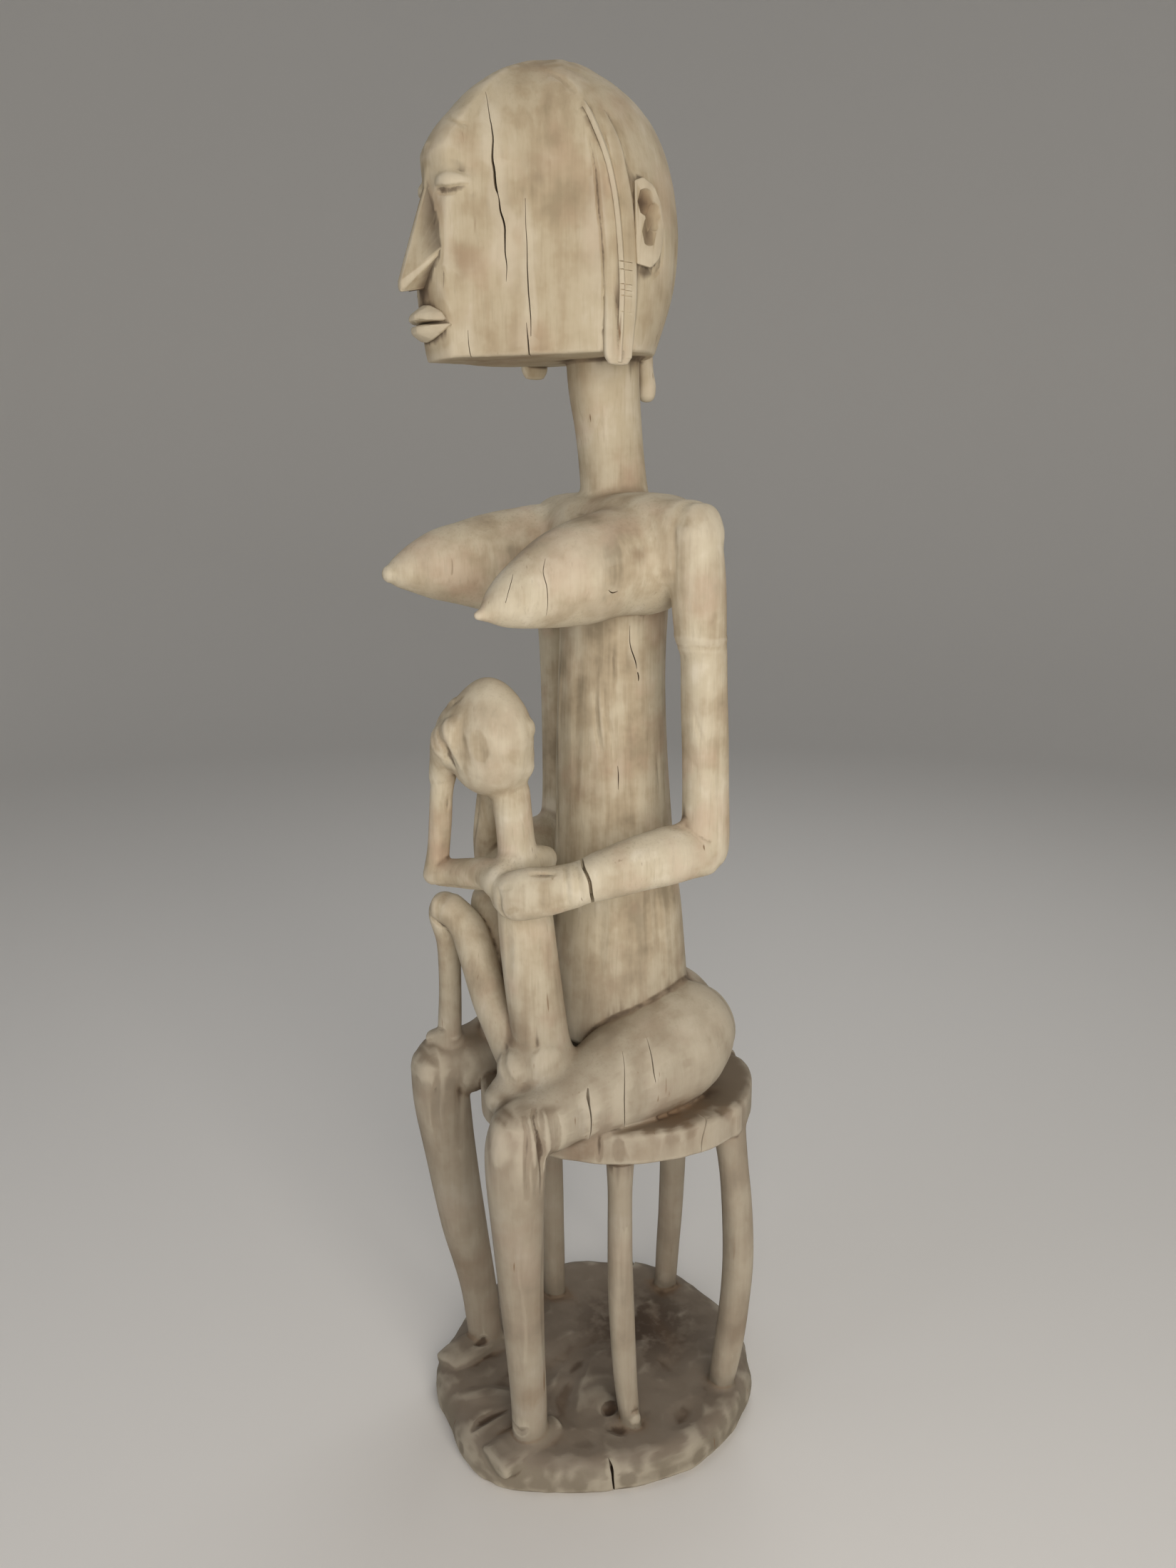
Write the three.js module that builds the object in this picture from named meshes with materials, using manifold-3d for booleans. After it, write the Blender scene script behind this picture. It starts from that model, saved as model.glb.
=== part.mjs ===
// A seated mother with her child on her lap, carved with her stool and her round base from one log.
// Millimetres, +Z up. The origin is the centre of the base's underside. The mother faces -Y, and +X is her left.

import * as THREE from 'three';
import { mergeVertices } from 'three/addons/utils/BufferGeometryUtils.js';
import { ConvexGeometry } from 'three/addons/geometries/ConvexGeometry.js';
import Module from 'manifold-3d';

const wasm = await Module();
wasm.setup();

// Driving dimensions
const BASE_RADIUS = 98.5;
const BASE_THICKNESS = 20.8;
const BASE_EDGE_ROUND = 4.5;
const BASE_SPUR = 11; // how far the base's front left corner stands out
const BASE_FLAT = 6; // how far the base's front right side falls short
const FIGURE_HEIGHT = 725.5; // from the base's top to the crown
const SEAT_RADIUS = 80;
const SEAT_THICKNESS = 19;
const SEAT_EDGE_ROUND = 3.5;
const STOOL_LEG_RADIUS = 8.2;
const STOOL_LEG_SINK = 6; // how far a leg runs on into the base and into the seat
const WRIST_BREAK_WIDTH = 2;
const WRIST_BREAK_DEPTH = 4.5;

// The figure keeps its proportions: its stations [x, y, h] are written against the crown's height there.
const CROWN = [0, -24, 725.5];
const share = FIGURE_HEIGHT / CROWN[2];
const SITTING_HEIGHT = 186.5; // where the thighs meet the seat

const WOOD = { color: 0xcdb994, roughness: 0.8, metalness: 0 };
const X_AXIS = new THREE.Vector3(1, 0, 0);
const Y_AXIS = new THREE.Vector3(0, 1, 0);
const Z_AXIS = new THREE.Vector3(0, 0, 1);

// A station's place: x and y as given, h above the base's top.
function place(x, y, h) {
  return new THREE.Vector3(x * share, y * share, BASE_THICKNESS + h * share);
}

// Rounded-square power curve: 2 is an ellipse, more is squarer.
function bent(value, power) {
  return Math.sign(value) * Math.abs(value) ** (2 / power);
}

// Moves a sphere's rows of points onto the rings that ringPoint gives, row 0 and the last one being poles.
function skin(sides, rows, ringPoint) {
  const geometry = new THREE.SphereGeometry(1, sides, rows);
  const position = geometry.attributes.position;
  for (let row = 0; row <= rows; row += 1) {
    for (let side = 0; side <= sides; side += 1) {
      const turn = (side % sides) / sides;
      const point = ringPoint(row, turn);
      position.setXYZ(row * (sides + 1) + side, point.x, point.y, point.z);
    }
  }
  return geometry;
}

// A carved limb along stations [x, y, h, half width, half height], its ends domed in domeRows steps.
function limb(stations, { sides = 10, rows = 8, dome = 0.8, domeRows = 1, power = 2, up = Z_AXIS } = {}) {
  const line = new THREE.CatmullRomCurve3(stations.map(([x, y, h]) => place(x, y, h)));
  const girth = new THREE.CatmullRomCurve3(
    stations.map(([, , , half, height = half]) => new THREE.Vector3(half * share, height * share, 0)),
  );
  const allRows = rows + 2 * domeRows;
  return skin(sides, allRows, (row, turn) => {
    const along = THREE.MathUtils.clamp((row - domeRows) / rows, 0, 1);
    const fromEnd = Math.min(row, allRows - row, domeRows) / domeRows;
    const swell = Math.sin((fromEnd * Math.PI) / 2);
    const reach = Math.cos((fromEnd * Math.PI) / 2) * dome * (row < domeRows ? -1 : 1);
    const size = girth.getPoint(along);
    const tangent = line.getTangent(along);
    const across = new THREE.Vector3().crossVectors(up, tangent).normalize();
    const upright = new THREE.Vector3().crossVectors(tangent, across);
    const angle = turn * 2 * Math.PI;
    return line
      .getPoint(along)
      .addScaledVector(tangent, reach * Math.min(size.x, size.y))
      .addScaledVector(across, size.x * swell * bent(Math.cos(angle), power))
      .addScaledVector(upright, size.y * swell * bent(Math.sin(angle), power));
  });
}

// An egg or cushion form about one centre.
function egg(x, y, h, [halfX, halfY, halfZ], { sides = 16, rows = 10, turn = 0, tilt = 0 } = {}) {
  const geometry = new THREE.SphereGeometry(1, sides, rows);
  geometry.rotateX(Math.PI / 2);
  geometry.scale(halfX * share, halfY * share, halfZ * share);
  geometry.rotateX(tilt);
  geometry.rotateZ(turn);
  const centre = place(x, y, h);
  geometry.translate(centre.x, centre.y, centre.z);
  return geometry;
}

// A closed mesh as a solid, turned so that its faces point out.
function solid(geometry) {
  const bare = geometry.clone();
  bare.deleteAttribute('normal');
  bare.deleteAttribute('uv');
  const merged = mergeVertices(bare, 1e-4);
  const corners = new Float32Array(merged.attributes.position.array);
  const faces = [];
  let volume = 0;
  const [a, b, c] = [new THREE.Vector3(), new THREE.Vector3(), new THREE.Vector3()];
  for (let i = 0; i < merged.index.count; i += 3) {
    const [p, q, r] = [0, 1, 2].map((k) => merged.index.getX(i + k));
    if (p === q || q === r || r === p) continue;
    faces.push([p, q, r]);
    a.fromArray(corners, p * 3);
    b.fromArray(corners, q * 3);
    c.fromArray(corners, r * 3);
    volume += a.dot(b.cross(c));
  }
  const outward = volume > 0 ? faces : faces.map(([p, q, r]) => [p, r, q]);
  const triVerts = new Uint32Array(outward.flat());
  return new wasm.Manifold(new wasm.Mesh({ numProp: 3, vertProperties: corners, triVerts }));
}

// Several closed meshes joined into one solid.
function join(geometries) {
  return geometries.map(solid).reduce((whole, piece) => whole.add(piece));
}

// A turned disc with worn edges, its radius varied around by reachAt.
function wornDisc(radius, bottom, top, round, sides, reachAt) {
  const arcSteps = 2;
  const profile = [new THREE.Vector2(0, bottom)];
  profile.push(new THREE.Vector2(radius - round * 0.4, bottom));
  profile.push(new THREE.Vector2(radius, bottom + round * 0.4));
  for (let step = 0; step <= arcSteps; step += 1) {
    const angle = (step / arcSteps) * (Math.PI / 2);
    const reach = radius - round + round * Math.cos(angle);
    profile.push(new THREE.Vector2(reach, top - round + round * Math.sin(angle)));
  }
  profile.push(new THREE.Vector2(0, top));
  const geometry = new THREE.LatheGeometry(profile, sides);
  geometry.rotateX(Math.PI / 2);
  const position = geometry.attributes.position;
  for (let i = 0; i < position.count; i += 1) {
    const [x, y] = [position.getX(i), position.getY(i)];
    const factor = reachAt(Math.atan2(y, x));
    position.setXY(i, x * factor, y * factor);
  }
  return geometry;
}

// A smooth swelling of the outline about one direction, 1 at its middle.
function lobe(angle, middle, halfWidth) {
  const away = Math.abs(THREE.MathUtils.euclideanModulo(angle - middle + Math.PI, 2 * Math.PI) - Math.PI);
  return away < halfWidth ? 0.5 + 0.5 * Math.cos((away / halfWidth) * Math.PI) : 0;
}

const degrees = THREE.MathUtils.degToRad;

function base() {
  return wornDisc(BASE_RADIUS, 0, BASE_THICKNESS, BASE_EDGE_ROUND, 36, (angle) => {
    const spur = BASE_SPUR * lobe(angle, degrees(-62), degrees(30));
    const flat = BASE_FLAT * lobe(angle, degrees(-137), degrees(32));
    const swell = 4 * lobe(angle, degrees(122), degrees(30));
    return 1 + (spur - flat + swell) / BASE_RADIUS;
  });
}

// The stool's middle, and each leg's direction at the seat and the foot, foot circle and outward bow.
// A kick above 1 keeps a leg's turn to its foot end.
const STOOL_CENTRE = [3, 14];
const STOOL_LEGS = [
  { seatAngle: 188, footAngle: 187, footCircle: 65.5, bow: 1 },
  { seatAngle: -29, footAngle: -23, footCircle: 66.5, bow: 1.5, kick: 3 },
  { seatAngle: 32, footAngle: 31.5, footCircle: 71, bow: 9 },
  { seatAngle: 117, footAngle: 120, footCircle: 69, bow: 5 },
];

function seatTop() {
  return BASE_THICKNESS + SITTING_HEIGHT * share;
}

function seat() {
  const disc = wornDisc(SEAT_RADIUS, 0, SEAT_THICKNESS, SEAT_EDGE_ROUND, 30, (angle) => 1 + 0.015 * Math.sin(3 * angle));
  disc.translate(STOOL_CENTRE[0], STOOL_CENTRE[1], seatTop() - SEAT_THICKNESS);
  return disc;
}

// One bowed leg from inside the base to inside the seat.
function stoolLeg({ seatAngle, footAngle, footCircle, bow, kick = 1 }) {
  const bottom = -STOOL_LEG_SINK;
  const top = seatTop() - SEAT_THICKNESS - BASE_THICKNESS + STOOL_LEG_SINK;
  const seatCircle = SEAT_RADIUS - STOOL_LEG_RADIUS - SEAT_EDGE_ROUND;
  const steps = 4;
  const stations = [];
  for (let step = 0; step <= steps; step += 1) {
    const rise = step / steps;
    const angle = degrees(THREE.MathUtils.lerp(footAngle, seatAngle, 1 - (1 - rise) ** kick));
    const circle = THREE.MathUtils.lerp(footCircle, seatCircle, rise) + bow * Math.sin(rise * Math.PI);
    const girth = STOOL_LEG_RADIUS * (1 + 0.12 * Math.sin(rise * Math.PI));
    stations.push([
      (STOOL_CENTRE[0] + circle * Math.cos(angle)) / share,
      (STOOL_CENTRE[1] + circle * Math.sin(angle)) / share,
      THREE.MathUtils.lerp(bottom, top, rise) / share,
      girth / share,
    ]);
  }
  return limb(stations, { sides: 8, rows: 5, dome: 0.1, up: Y_AXIS });
}

// The mother's legs. side is 1 for her left and -1 for her right.
function motherLegs() {
  const upright = { sides: 10, rows: 6, domeRows: 2, up: Y_AXIS };
  const level = { sides: 12, rows: 7, domeRows: 2 };
  const leftShin = limb(
    [
      [47, -68, 3, 10.4],
      [47.5, -69, 30, 10.3],
      [48.3, -71.5, 65, 11.2],
      [49.3, -74.3, 105, 12.9],
      [50.4, -76.5, 145, 14.8],
      [51.5, -77, 180, 16.5],
      [52, -75.5, 195, 15.5],
    ],
    upright,
  );
  const rightShin = limb(
    [
      [-41, -54.5, 3, 10.6],
      [-42.5, -58, 38, 11],
      [-44.5, -65, 80, 13.4],
      [-47, -72, 128, 14.9],
      [-49, -76.5, 167, 16.6],
      [-49, -77.5, 190, 17],
    ],
    upright,
  );
  const leftThigh = limb(
    [
      [52, -75, 194, 15.5],
      [51.5, -62, 195, 18],
      [50, -43, 199, 21],
      [46, -10, 205.5, 28.6],
      [42, 22, 213, 32.5],
      [38, 38, 218, 31],
      [34, 46, 218, 27],
    ],
    level,
  );
  const rightThigh = limb(
    [
      [-49, -78, 190, 17],
      [-49, -66, 189, 19.5],
      [-48, -46, 191, 21],
      [-46, -10, 202, 28.6],
      [-42, 22, 213, 32.5],
      [-38, 38, 218, 31],
      [-34, 46, 218, 27],
    ],
    level,
  );
  const pelvis = egg(0, 36, 218, [56, 40, 32], { sides: 14, rows: 8 });
  return [leftShin, rightShin, leftThigh, rightThigh, pelvis];
}

// Wedge feet, thick at the ankle and thin at the toes, sunk into the base.
function motherFeet() {
  const shape = { sides: 8, rows: 4, power: 3, dome: 0.5, domeRows: 2 };
  const leftFoot = limb(
    [
      [47.5, -52, 1, 6, 7],
      [48, -64, 2, 11, 9],
      [50, -80, 0, 13, 6.5],
      [51, -92, -2, 12.5, 4.5],
    ],
    shape,
  );
  const rightFoot = limb(
    [
      [-37, -46, 1, 6, 7],
      [-38, -56, 2, 11, 9],
      [-35, -73, 0, 12.5, 6.5],
      [-33, -84, -2, 12, 4.5],
    ],
    shape,
  );
  return [leftFoot, rightFoot];
}

function motherTrunk() {
  const torso = limb(
    [
      [0, 15.7, 218, 44, 40],
      [0, 15.7, 240, 43, 39.5],
      [0, 15.2, 288, 39.5, 35.5],
      [0, 13.2, 339, 34.7, 31.2],
      [0, 11.2, 395, 32.3, 29],
      [0, 12, 440, 31, 27.8],
      [0, 14, 490, 33, 28],
    ],
    { sides: 14, rows: 6, dome: 0.2, up: Y_AXIS, power: 2.2 },
  );
  const yoke = limb(
    [
      [-82, 15, 501, 10.5, 11],
      [-74, 14.5, 498.5, 14.5, 15],
      [-50, 12, 493, 25, 27],
      [0, 9, 490, 32, 30],
      [50, 12, 493, 25, 27],
      [74, 14.5, 500.5, 14.5, 17.5],
      [82, 15, 504, 10.5, 12.5],
    ],
    { sides: 12, rows: 10, dome: 0.5, domeRows: 2, power: 2.6 },
  );
  const neck = limb(
    [
      [0, 13, 508, 20.5],
      [0, 12.6, 520, 17.6],
      [0, 11, 535, 17],
      [0, 8.5, 556, 17.3],
      [0, 6, 575, 18.2],
      [0, 5, 596, 18.8],
    ],
    { sides: 12, rows: 6, dome: 0.2, up: Y_AXIS },
  );
  return [torso, yoke, neck];
}

// Long cone breasts. The right one reaches further and lies a little higher.
function breasts() {
  const shape = { sides: 12, rows: 7, dome: 0.9, domeRows: 2 };
  const left = limb(
    [
      [40, 8, 485, 27],
      [42, -13, 485, 27],
      [44, -39, 479.5, 25.2],
      [45, -63, 471.7, 17.8],
      [45.3, -78, 466.5, 10.8],
      [45.5, -86, 463.5, 4.8],
      [45.5, -88.5, 462.8, 3.2],
    ],
    shape,
  );
  const right = limb(
    [
      [-41, 4, 484, 31],
      [-40, -16, 482.6, 31],
      [-40, -38, 482.8, 27.8],
      [-40, -63, 482.5, 22],
      [-40, -81, 481, 16.5],
      [-40, -96, 478.8, 8.6],
      [-40, -101, 478.2, 4.6],
    ],
    shape,
  );
  return [left, right];
}

function motherArms() {
  const upright = { sides: 10, rows: 7, up: Y_AXIS };
  const level = { sides: 10, rows: 5 };
  const leftUpper = limb(
    [
      [76, 13, 500, 12.8],
      [77, 15, 478, 13.3],
      [77, 17, 452, 12.8],
      [77, 19.3, 440, 11.5],
      [77, 20.5, 413, 11.8],
      [77, 22.3, 370, 11.7],
      [77, 22.5, 345, 12.2],
      [77, 21.5, 338, 12.2],
    ],
    upright,
  );
  const leftFore = limb(
    [
      [77, 21, 337.5, 12.5],
      [74, 6.7, 338, 14.8],
      [70, -12.5, 334.5, 14.1],
      [65, -30.7, 330.2, 12.6],
      [61.5, -40, 327, 11.3],
      [57, -47, 324.3, 11.6],
    ],
    level,
  );
  const leftHand = limb(
    [
      [58, -46, 324, 11.4, 12],
      [51, -56, 321.5, 9, 12.8],
      [44, -64, 320, 7.5, 13.4],
      [36, -70.5, 318, 6.8, 12.6],
      [31, -73.5, 316.5, 6, 10.5],
    ],
    { sides: 10, rows: 5, domeRows: 2, power: 2.4 },
  );
  const rightUpper = limb(
    [
      [-76, 13, 500, 12.8],
      [-77, 15, 478, 13.3],
      [-77, 17, 452, 12.8],
      [-77, 19.3, 440, 11.6],
      [-77, 21, 395, 11.8],
      [-77, 21.5, 345, 11.8],
      [-77, 20.5, 318, 12.2],
    ],
    upright,
  );
  const rightFore = limb(
    [
      [-77, 20, 314, 12.5],
      [-73, 4, 311.5, 13.6],
      [-61, -14, 306, 12.6],
      [-43, -27, 301.5, 11],
      [-24, -35, 299, 9.5],
    ],
    level,
  );
  const rightHand = limb(
    [
      [-26, -34, 299, 8, 10.5],
      [-10, -39, 297, 6.5, 12],
      [6, -42, 295, 6, 11.5],
      [14, -43, 294, 5, 9],
    ],
    { sides: 8, rows: 3, domeRows: 2, power: 2.4 },
  );
  return [leftUpper, leftFore, leftHand, rightUpper, rightFore, rightHand];
}

// The left wrist broke through and was set back: a slot around it, about its line.
function wristBreak() {
  const innerRadius = 11.5 - WRIST_BREAK_DEPTH;
  const outerRadius = 18;
  const half = WRIST_BREAK_WIDTH / 2;
  const slot = new THREE.LatheGeometry(
    [
      new THREE.Vector2(innerRadius, -half),
      new THREE.Vector2(outerRadius, -half),
      new THREE.Vector2(outerRadius, half),
      new THREE.Vector2(innerRadius, half),
      new THREE.Vector2(innerRadius, -half),
    ],
    16,
  );
  const wrist = place(61.5, -40, 327);
  const along = new THREE.Vector3(5.5, 16, 3).normalize();
  slot.applyQuaternion(new THREE.Quaternion().setFromUnitVectors(Y_AXIS, along));
  slot.translate(wrist.x, wrist.y, wrist.z);
  return slot;
}

// The head is a long wedge: level outlines with a narrow face, flat sides to the braids and a round back.
// Each level is [h, face y, half face, braid y, half width, back y].
const HEAD_LEVELS = [
  [582.2, -87.5, 15.5, -12, 44, 25],
  [592, -89.5, 16.5, -11, 45, 29],
  [619, -90.5, 17, -9, 46.5, 39.5],
  [644, -90, 16.5, -11, 46.5, 43],
  [663, -90, 15.5, -15, 45.5, 41.5],
  [674, -92.5, 14.5, -18, 44, 39.5],
  [686, -85.5, 14.5, -24, 40.5, 36],
  [698, -75, 14, -29, 35, 30],
  [708, -65.5, 12, -31, 28, 22],
  [716, -54, 9.5, -28, 20, 11],
  [722, -40, 6, -25, 12, -3],
];
const JAW_RISE = 0.057; // how fast the underside of the head climbs towards the nape
const FACE_SET_BACK = 5; // from the face's middle back to its corners

// A point of the head's level outline. turn runs once around from the face, over her left.
function headOutline([h, faceY, halfFace, braidY, halfWidth, backY], turn) {
  const mirrored = turn > 0.5;
  const half = (mirrored ? 1 - turn : turn) * 2;
  const faceEnd = 0.2;
  const sideEnd = 0.52;
  let x;
  let y;
  if (half <= faceEnd) {
    const part = half / faceEnd;
    x = halfFace * Math.sin((part * Math.PI) / 2);
    y = faceY + FACE_SET_BACK * (1 - Math.cos((part * Math.PI) / 2));
  } else if (half <= sideEnd) {
    const part = (half - faceEnd) / (sideEnd - faceEnd);
    x = THREE.MathUtils.lerp(halfFace, halfWidth, part);
    y = THREE.MathUtils.lerp(faceY + FACE_SET_BACK, braidY, part);
  } else {
    const part = ((half - sideEnd) / (1 - sideEnd)) * (Math.PI / 2);
    x = halfWidth * Math.cos(part);
    y = braidY + (backY - braidY) * Math.sin(part);
  }
  return place(mirrored ? -x : x, y, h);
}

function headShell() {
  const sides = 22;
  const levels = HEAD_LEVELS.length;
  const rows = levels + 1;
  const crown = place(...CROWN);
  const jaw = place(0, -30, HEAD_LEVELS[0][0] + 3);
  return skin(sides, rows, (row, turn) => {
    if (row === 0) return jaw.clone();
    if (row === rows) return crown.clone();
    const point = headOutline(HEAD_LEVELS[row - 1], turn);
    if (row === 1) point.z += JAW_RISE * (point.y - HEAD_LEVELS[0][1] * share);
    return point;
  });
}

function face() {
  const nose = new ConvexGeometry([
    place(0, -88, 664),
    place(3.5, -93, 655),
    place(-3.5, -93, 655),
    place(2, -107, 613.5),
    place(-2, -107, 613.5),
    place(0, -92, 613),
    place(13, -84.5, 630),
    place(-13, -84.5, 630),
    place(0, -80, 640),
  ]);
  const lip = (h, drop) =>
    new ConvexGeometry([
      place(0, -101, h),
      place(5, -99.5, h + drop),
      place(-5, -99.5, h + drop),
      place(5, -99.5, h - 2.5),
      place(-5, -99.5, h - 2.5),
      place(13, -85, h - 1),
      place(-13, -85, h - 1),
      place(0, -85, h + 5),
      place(0, -85, h - 5),
    ]);
  const eye = (side) => egg(side * 16.3, -85.5, 660.5, [4, 9, 4.6], { sides: 8, rows: 5, turn: side * -0.4 });
  return [nose, lip(601.5, 2.5), lip(595, 2), eye(1), eye(-1)];
}

// Braids before the ears, ending in tabs below the jaw, then the ears and the tress at the nape.
function hairAndEars() {
  const pieces = [];
  for (const side of [1, -1]) {
    const braid = limb(
      HEAD_LEVELS.slice(1, 8).map(([h, , , braidY, halfWidth]) => [side * (halfWidth - 0.8), braidY, h, 6.5, 3]),
      { sides: 6, rows: 5, dome: 0.6, power: 3, up: X_AXIS },
    );
    const ridge = limb(
      HEAD_LEVELS.slice(1, 8).map(([h, , , braidY, halfWidth]) => [side * (halfWidth + 1.6), braidY + 1.5, h, 1.8]),
      { sides: 4, rows: 5, up: X_AXIS },
    );
    const tab = limb(
      [
        [side * 43.5, -11, 594, 7.5, 4],
        [side * 43.5, -11.5, 586, 7, 4],
        [side * 43.5, -12, 582, 5.5, 3.4],
      ],
      { sides: 6, rows: 2, dome: 0.7, domeRows: 2, power: 3, up: X_AXIS },
    );
    const ear = limb(
      [
        [side * 44.5, -3, 659, 2.6],
        [side * 46, 3, 663, 3],
        [side * 45, 10, 657, 3],
        [side * 43.5, 12.5, 645, 3],
        [side * 44.5, 9, 634, 3],
        [side * 45.5, 2.5, 629.5, 4],
      ],
      { sides: 6, rows: 6, up: X_AXIS },
    );
    pieces.push(braid, ridge, tab, ear);
  }
  const tress = limb(
    [
      [0, 30, 594, 5],
      [0, 31.5, 583, 4.2],
      [0, 32.5, 576, 4.8],
      [0, 32.5, 571, 4.6],
    ],
    { sides: 7, rows: 3, domeRows: 2, up: Y_AXIS },
  );
  pieces.push(tress);
  return pieces;
}

// The child sits on her left thigh, its back to her left, its knees up, elbows on knees, hands on its face.
function child() {
  const upright = { sides: 8, rows: 4, up: Y_AXIS };
  const level = { sides: 8, rows: 4 };
  const torso = limb(
    [
      [33, -47, 214, 15, 17],
      [31, -50, 230, 14.5, 15.5],
      [28.5, -52.7, 254, 14.5, 15.5],
      [26.5, -54.8, 278, 15, 15.5],
      [24.5, -56, 300, 14, 15],
      [21, -56, 322, 11, 14],
    ],
    { sides: 10, rows: 5, up: Y_AXIS, dome: 0.6, domeRows: 2 },
  );
  const shoulders = limb(
    [
      [14.5, -38, 327, 7],
      [18, -48, 328, 8.5],
      [21, -60, 326, 9.5],
      [25, -70, 321, 9.5],
    ],
    { ...level, up: Z_AXIS },
  );
  const neck = limb(
    [
      [18, -56, 326, 11],
      [16.5, -56.8, 338, 9.6],
      [14.5, -57.3, 352, 9],
      [12, -58, 366, 9.2],
    ],
    upright,
  );
  const head = skin(12, 9, (row, turn) => {
    const lift = -Math.cos((row / 9) * Math.PI);
    const wide = Math.sin((row / 9) * Math.PI) * (1 - 0.12 * lift * lift * Math.sign(lift));
    const angle = turn * 2 * Math.PI;
    const ahead = 27 * wide * Math.cos(angle);
    const aside = 20.5 * wide * Math.sin(angle);
    const facing = degrees(195);
    return place(
      5.5 + ahead * Math.cos(facing) - aside * Math.sin(facing),
      -66.5 + ahead * Math.sin(facing) + aside * Math.cos(facing),
      395 + 31.5 * lift,
    );
  });
  const nearUpperArm = limb(
    [
      [25, -70, 320.5, 9],
      [11, -70, 321.5, 8.6],
      [-5, -74.7, 318.7, 7.9],
      [-16, -79, 316.8, 7.3],
      [-25, -85, 315.5, 7.6],
    ],
    level,
  );
  const nearForearm = limb(
    [
      [-26, -86, 314, 7.4],
      [-24.3, -84.5, 329.7, 6.3],
      [-22, -83.8, 346, 6.3],
      [-19.5, -83.4, 364.5, 6.4],
      [-16, -82.5, 383, 8.3],
      [-11, -80, 398, 7.2],
      [-7, -77, 405, 5],
    ],
    { ...upright, rows: 7 },
  );
  const farUpperArm = limb(
    [
      [14.5, -39, 325, 7.5],
      [-6, -43, 322, 7],
      [-30, -51, 318.5, 6.8],
    ],
    level,
  );
  const farForearm = limb(
    [
      [-31, -52.5, 316, 7],
      [-30.5, -53.3, 332, 6.2],
      [-27.5, -52.5, 352, 5.2],
      [-20, -54, 370, 6],
      [-12, -56, 384, 6],
    ],
    upright,
  );
  const nearThigh = limb(
    [
      [33, -55, 214, 13.5],
      [21, -59.5, 219, 12.5],
      [11, -64.5, 234, 10],
      [1, -66.8, 248.5, 10],
      [-11, -68.5, 270, 10],
      [-19, -71, 283.5, 9],
      [-27, -77.5, 293.5, 8.5],
    ],
    { ...level, rows: 7, sides: 10 },
  );
  const nearShin = limb(
    [
      [-29, -79.5, 296, 7.6],
      [-32.5, -79, 288, 8.3],
      [-36, -75, 270, 6.6],
      [-40, -73, 243, 6],
      [-43.5, -72.3, 217, 6.5],
      [-44.5, -72.5, 206, 7],
    ],
    { ...upright, rows: 6 },
  );
  const nearFoot = limb(
    [
      [-41, -70, 210, 6, 4.5],
      [-47, -75, 209, 6.5, 4.5],
      [-53, -80, 206.5, 6, 3.5],
    ],
    { sides: 8, rows: 3 },
  );
  const farThigh = limb(
    [
      [30, -42, 216, 12],
      [12, -46, 234, 10],
      [-8, -49.5, 266, 9.5],
      [-27, -54, 291, 8.3],
    ],
    level,
  );
  const farShin = limb(
    [
      [-29, -55, 296, 7.4],
      [-31.5, -54, 286, 7.8],
      [-35.5, -49.5, 250, 6],
      [-39, -47.5, 216, 6.3],
      [-39.5, -47.5, 206, 6.8],
    ],
    upright,
  );
  return [
    torso,
    shoulders,
    neck,
    head,
    nearUpperArm,
    nearForearm,
    farUpperArm,
    farForearm,
    nearThigh,
    nearShin,
    nearFoot,
    farThigh,
    farShin,
  ];
}

// The whole carving as one named mesh.
function maternityFigure() {
  const carved = join([
    base(),
    seat(),
    ...STOOL_LEGS.map(stoolLeg),
    ...motherLegs(),
    ...motherFeet(),
    ...motherTrunk(),
    ...breasts(),
    ...motherArms(),
    headShell(),
    ...face(),
    ...hairAndEars(),
    ...child(),
  ]).subtract(solid(wristBreak()));
  const { vertProperties, triVerts } = carved.getMesh();
  const geometry = new THREE.BufferGeometry();
  geometry.setAttribute('position', new THREE.BufferAttribute(vertProperties, 3));
  geometry.setIndex(new THREE.BufferAttribute(triVerts, 1));
  geometry.computeVertexNormals();
  const mesh = new THREE.Mesh(geometry, new THREE.MeshStandardMaterial(WOOD));
  mesh.name = 'maternity_figure';
  return mesh;
}

const figure = new THREE.Group();
figure.add(maternityFigure());

export default figure;
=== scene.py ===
"""A seated mother with her child on her lap, carved with her stool and her base from one log.

The whole is one piece of wood. Each class of the carving makes the forms of one part and names its
marks, and the Carving class grows the forms together into one mesh, carves the marks and cuts the
drying cracks. Forms are worked out in millimetres, and the finished piece is brought to metres.
"""

import logging
import math
from dataclasses import dataclass, field
from enum import Enum
from typing import Callable, Protocol, Sequence

import bmesh
import bpy
import numpy as np
from mathutils import Matrix, Vector
from mathutils.bvhtree import BVHTree


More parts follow.
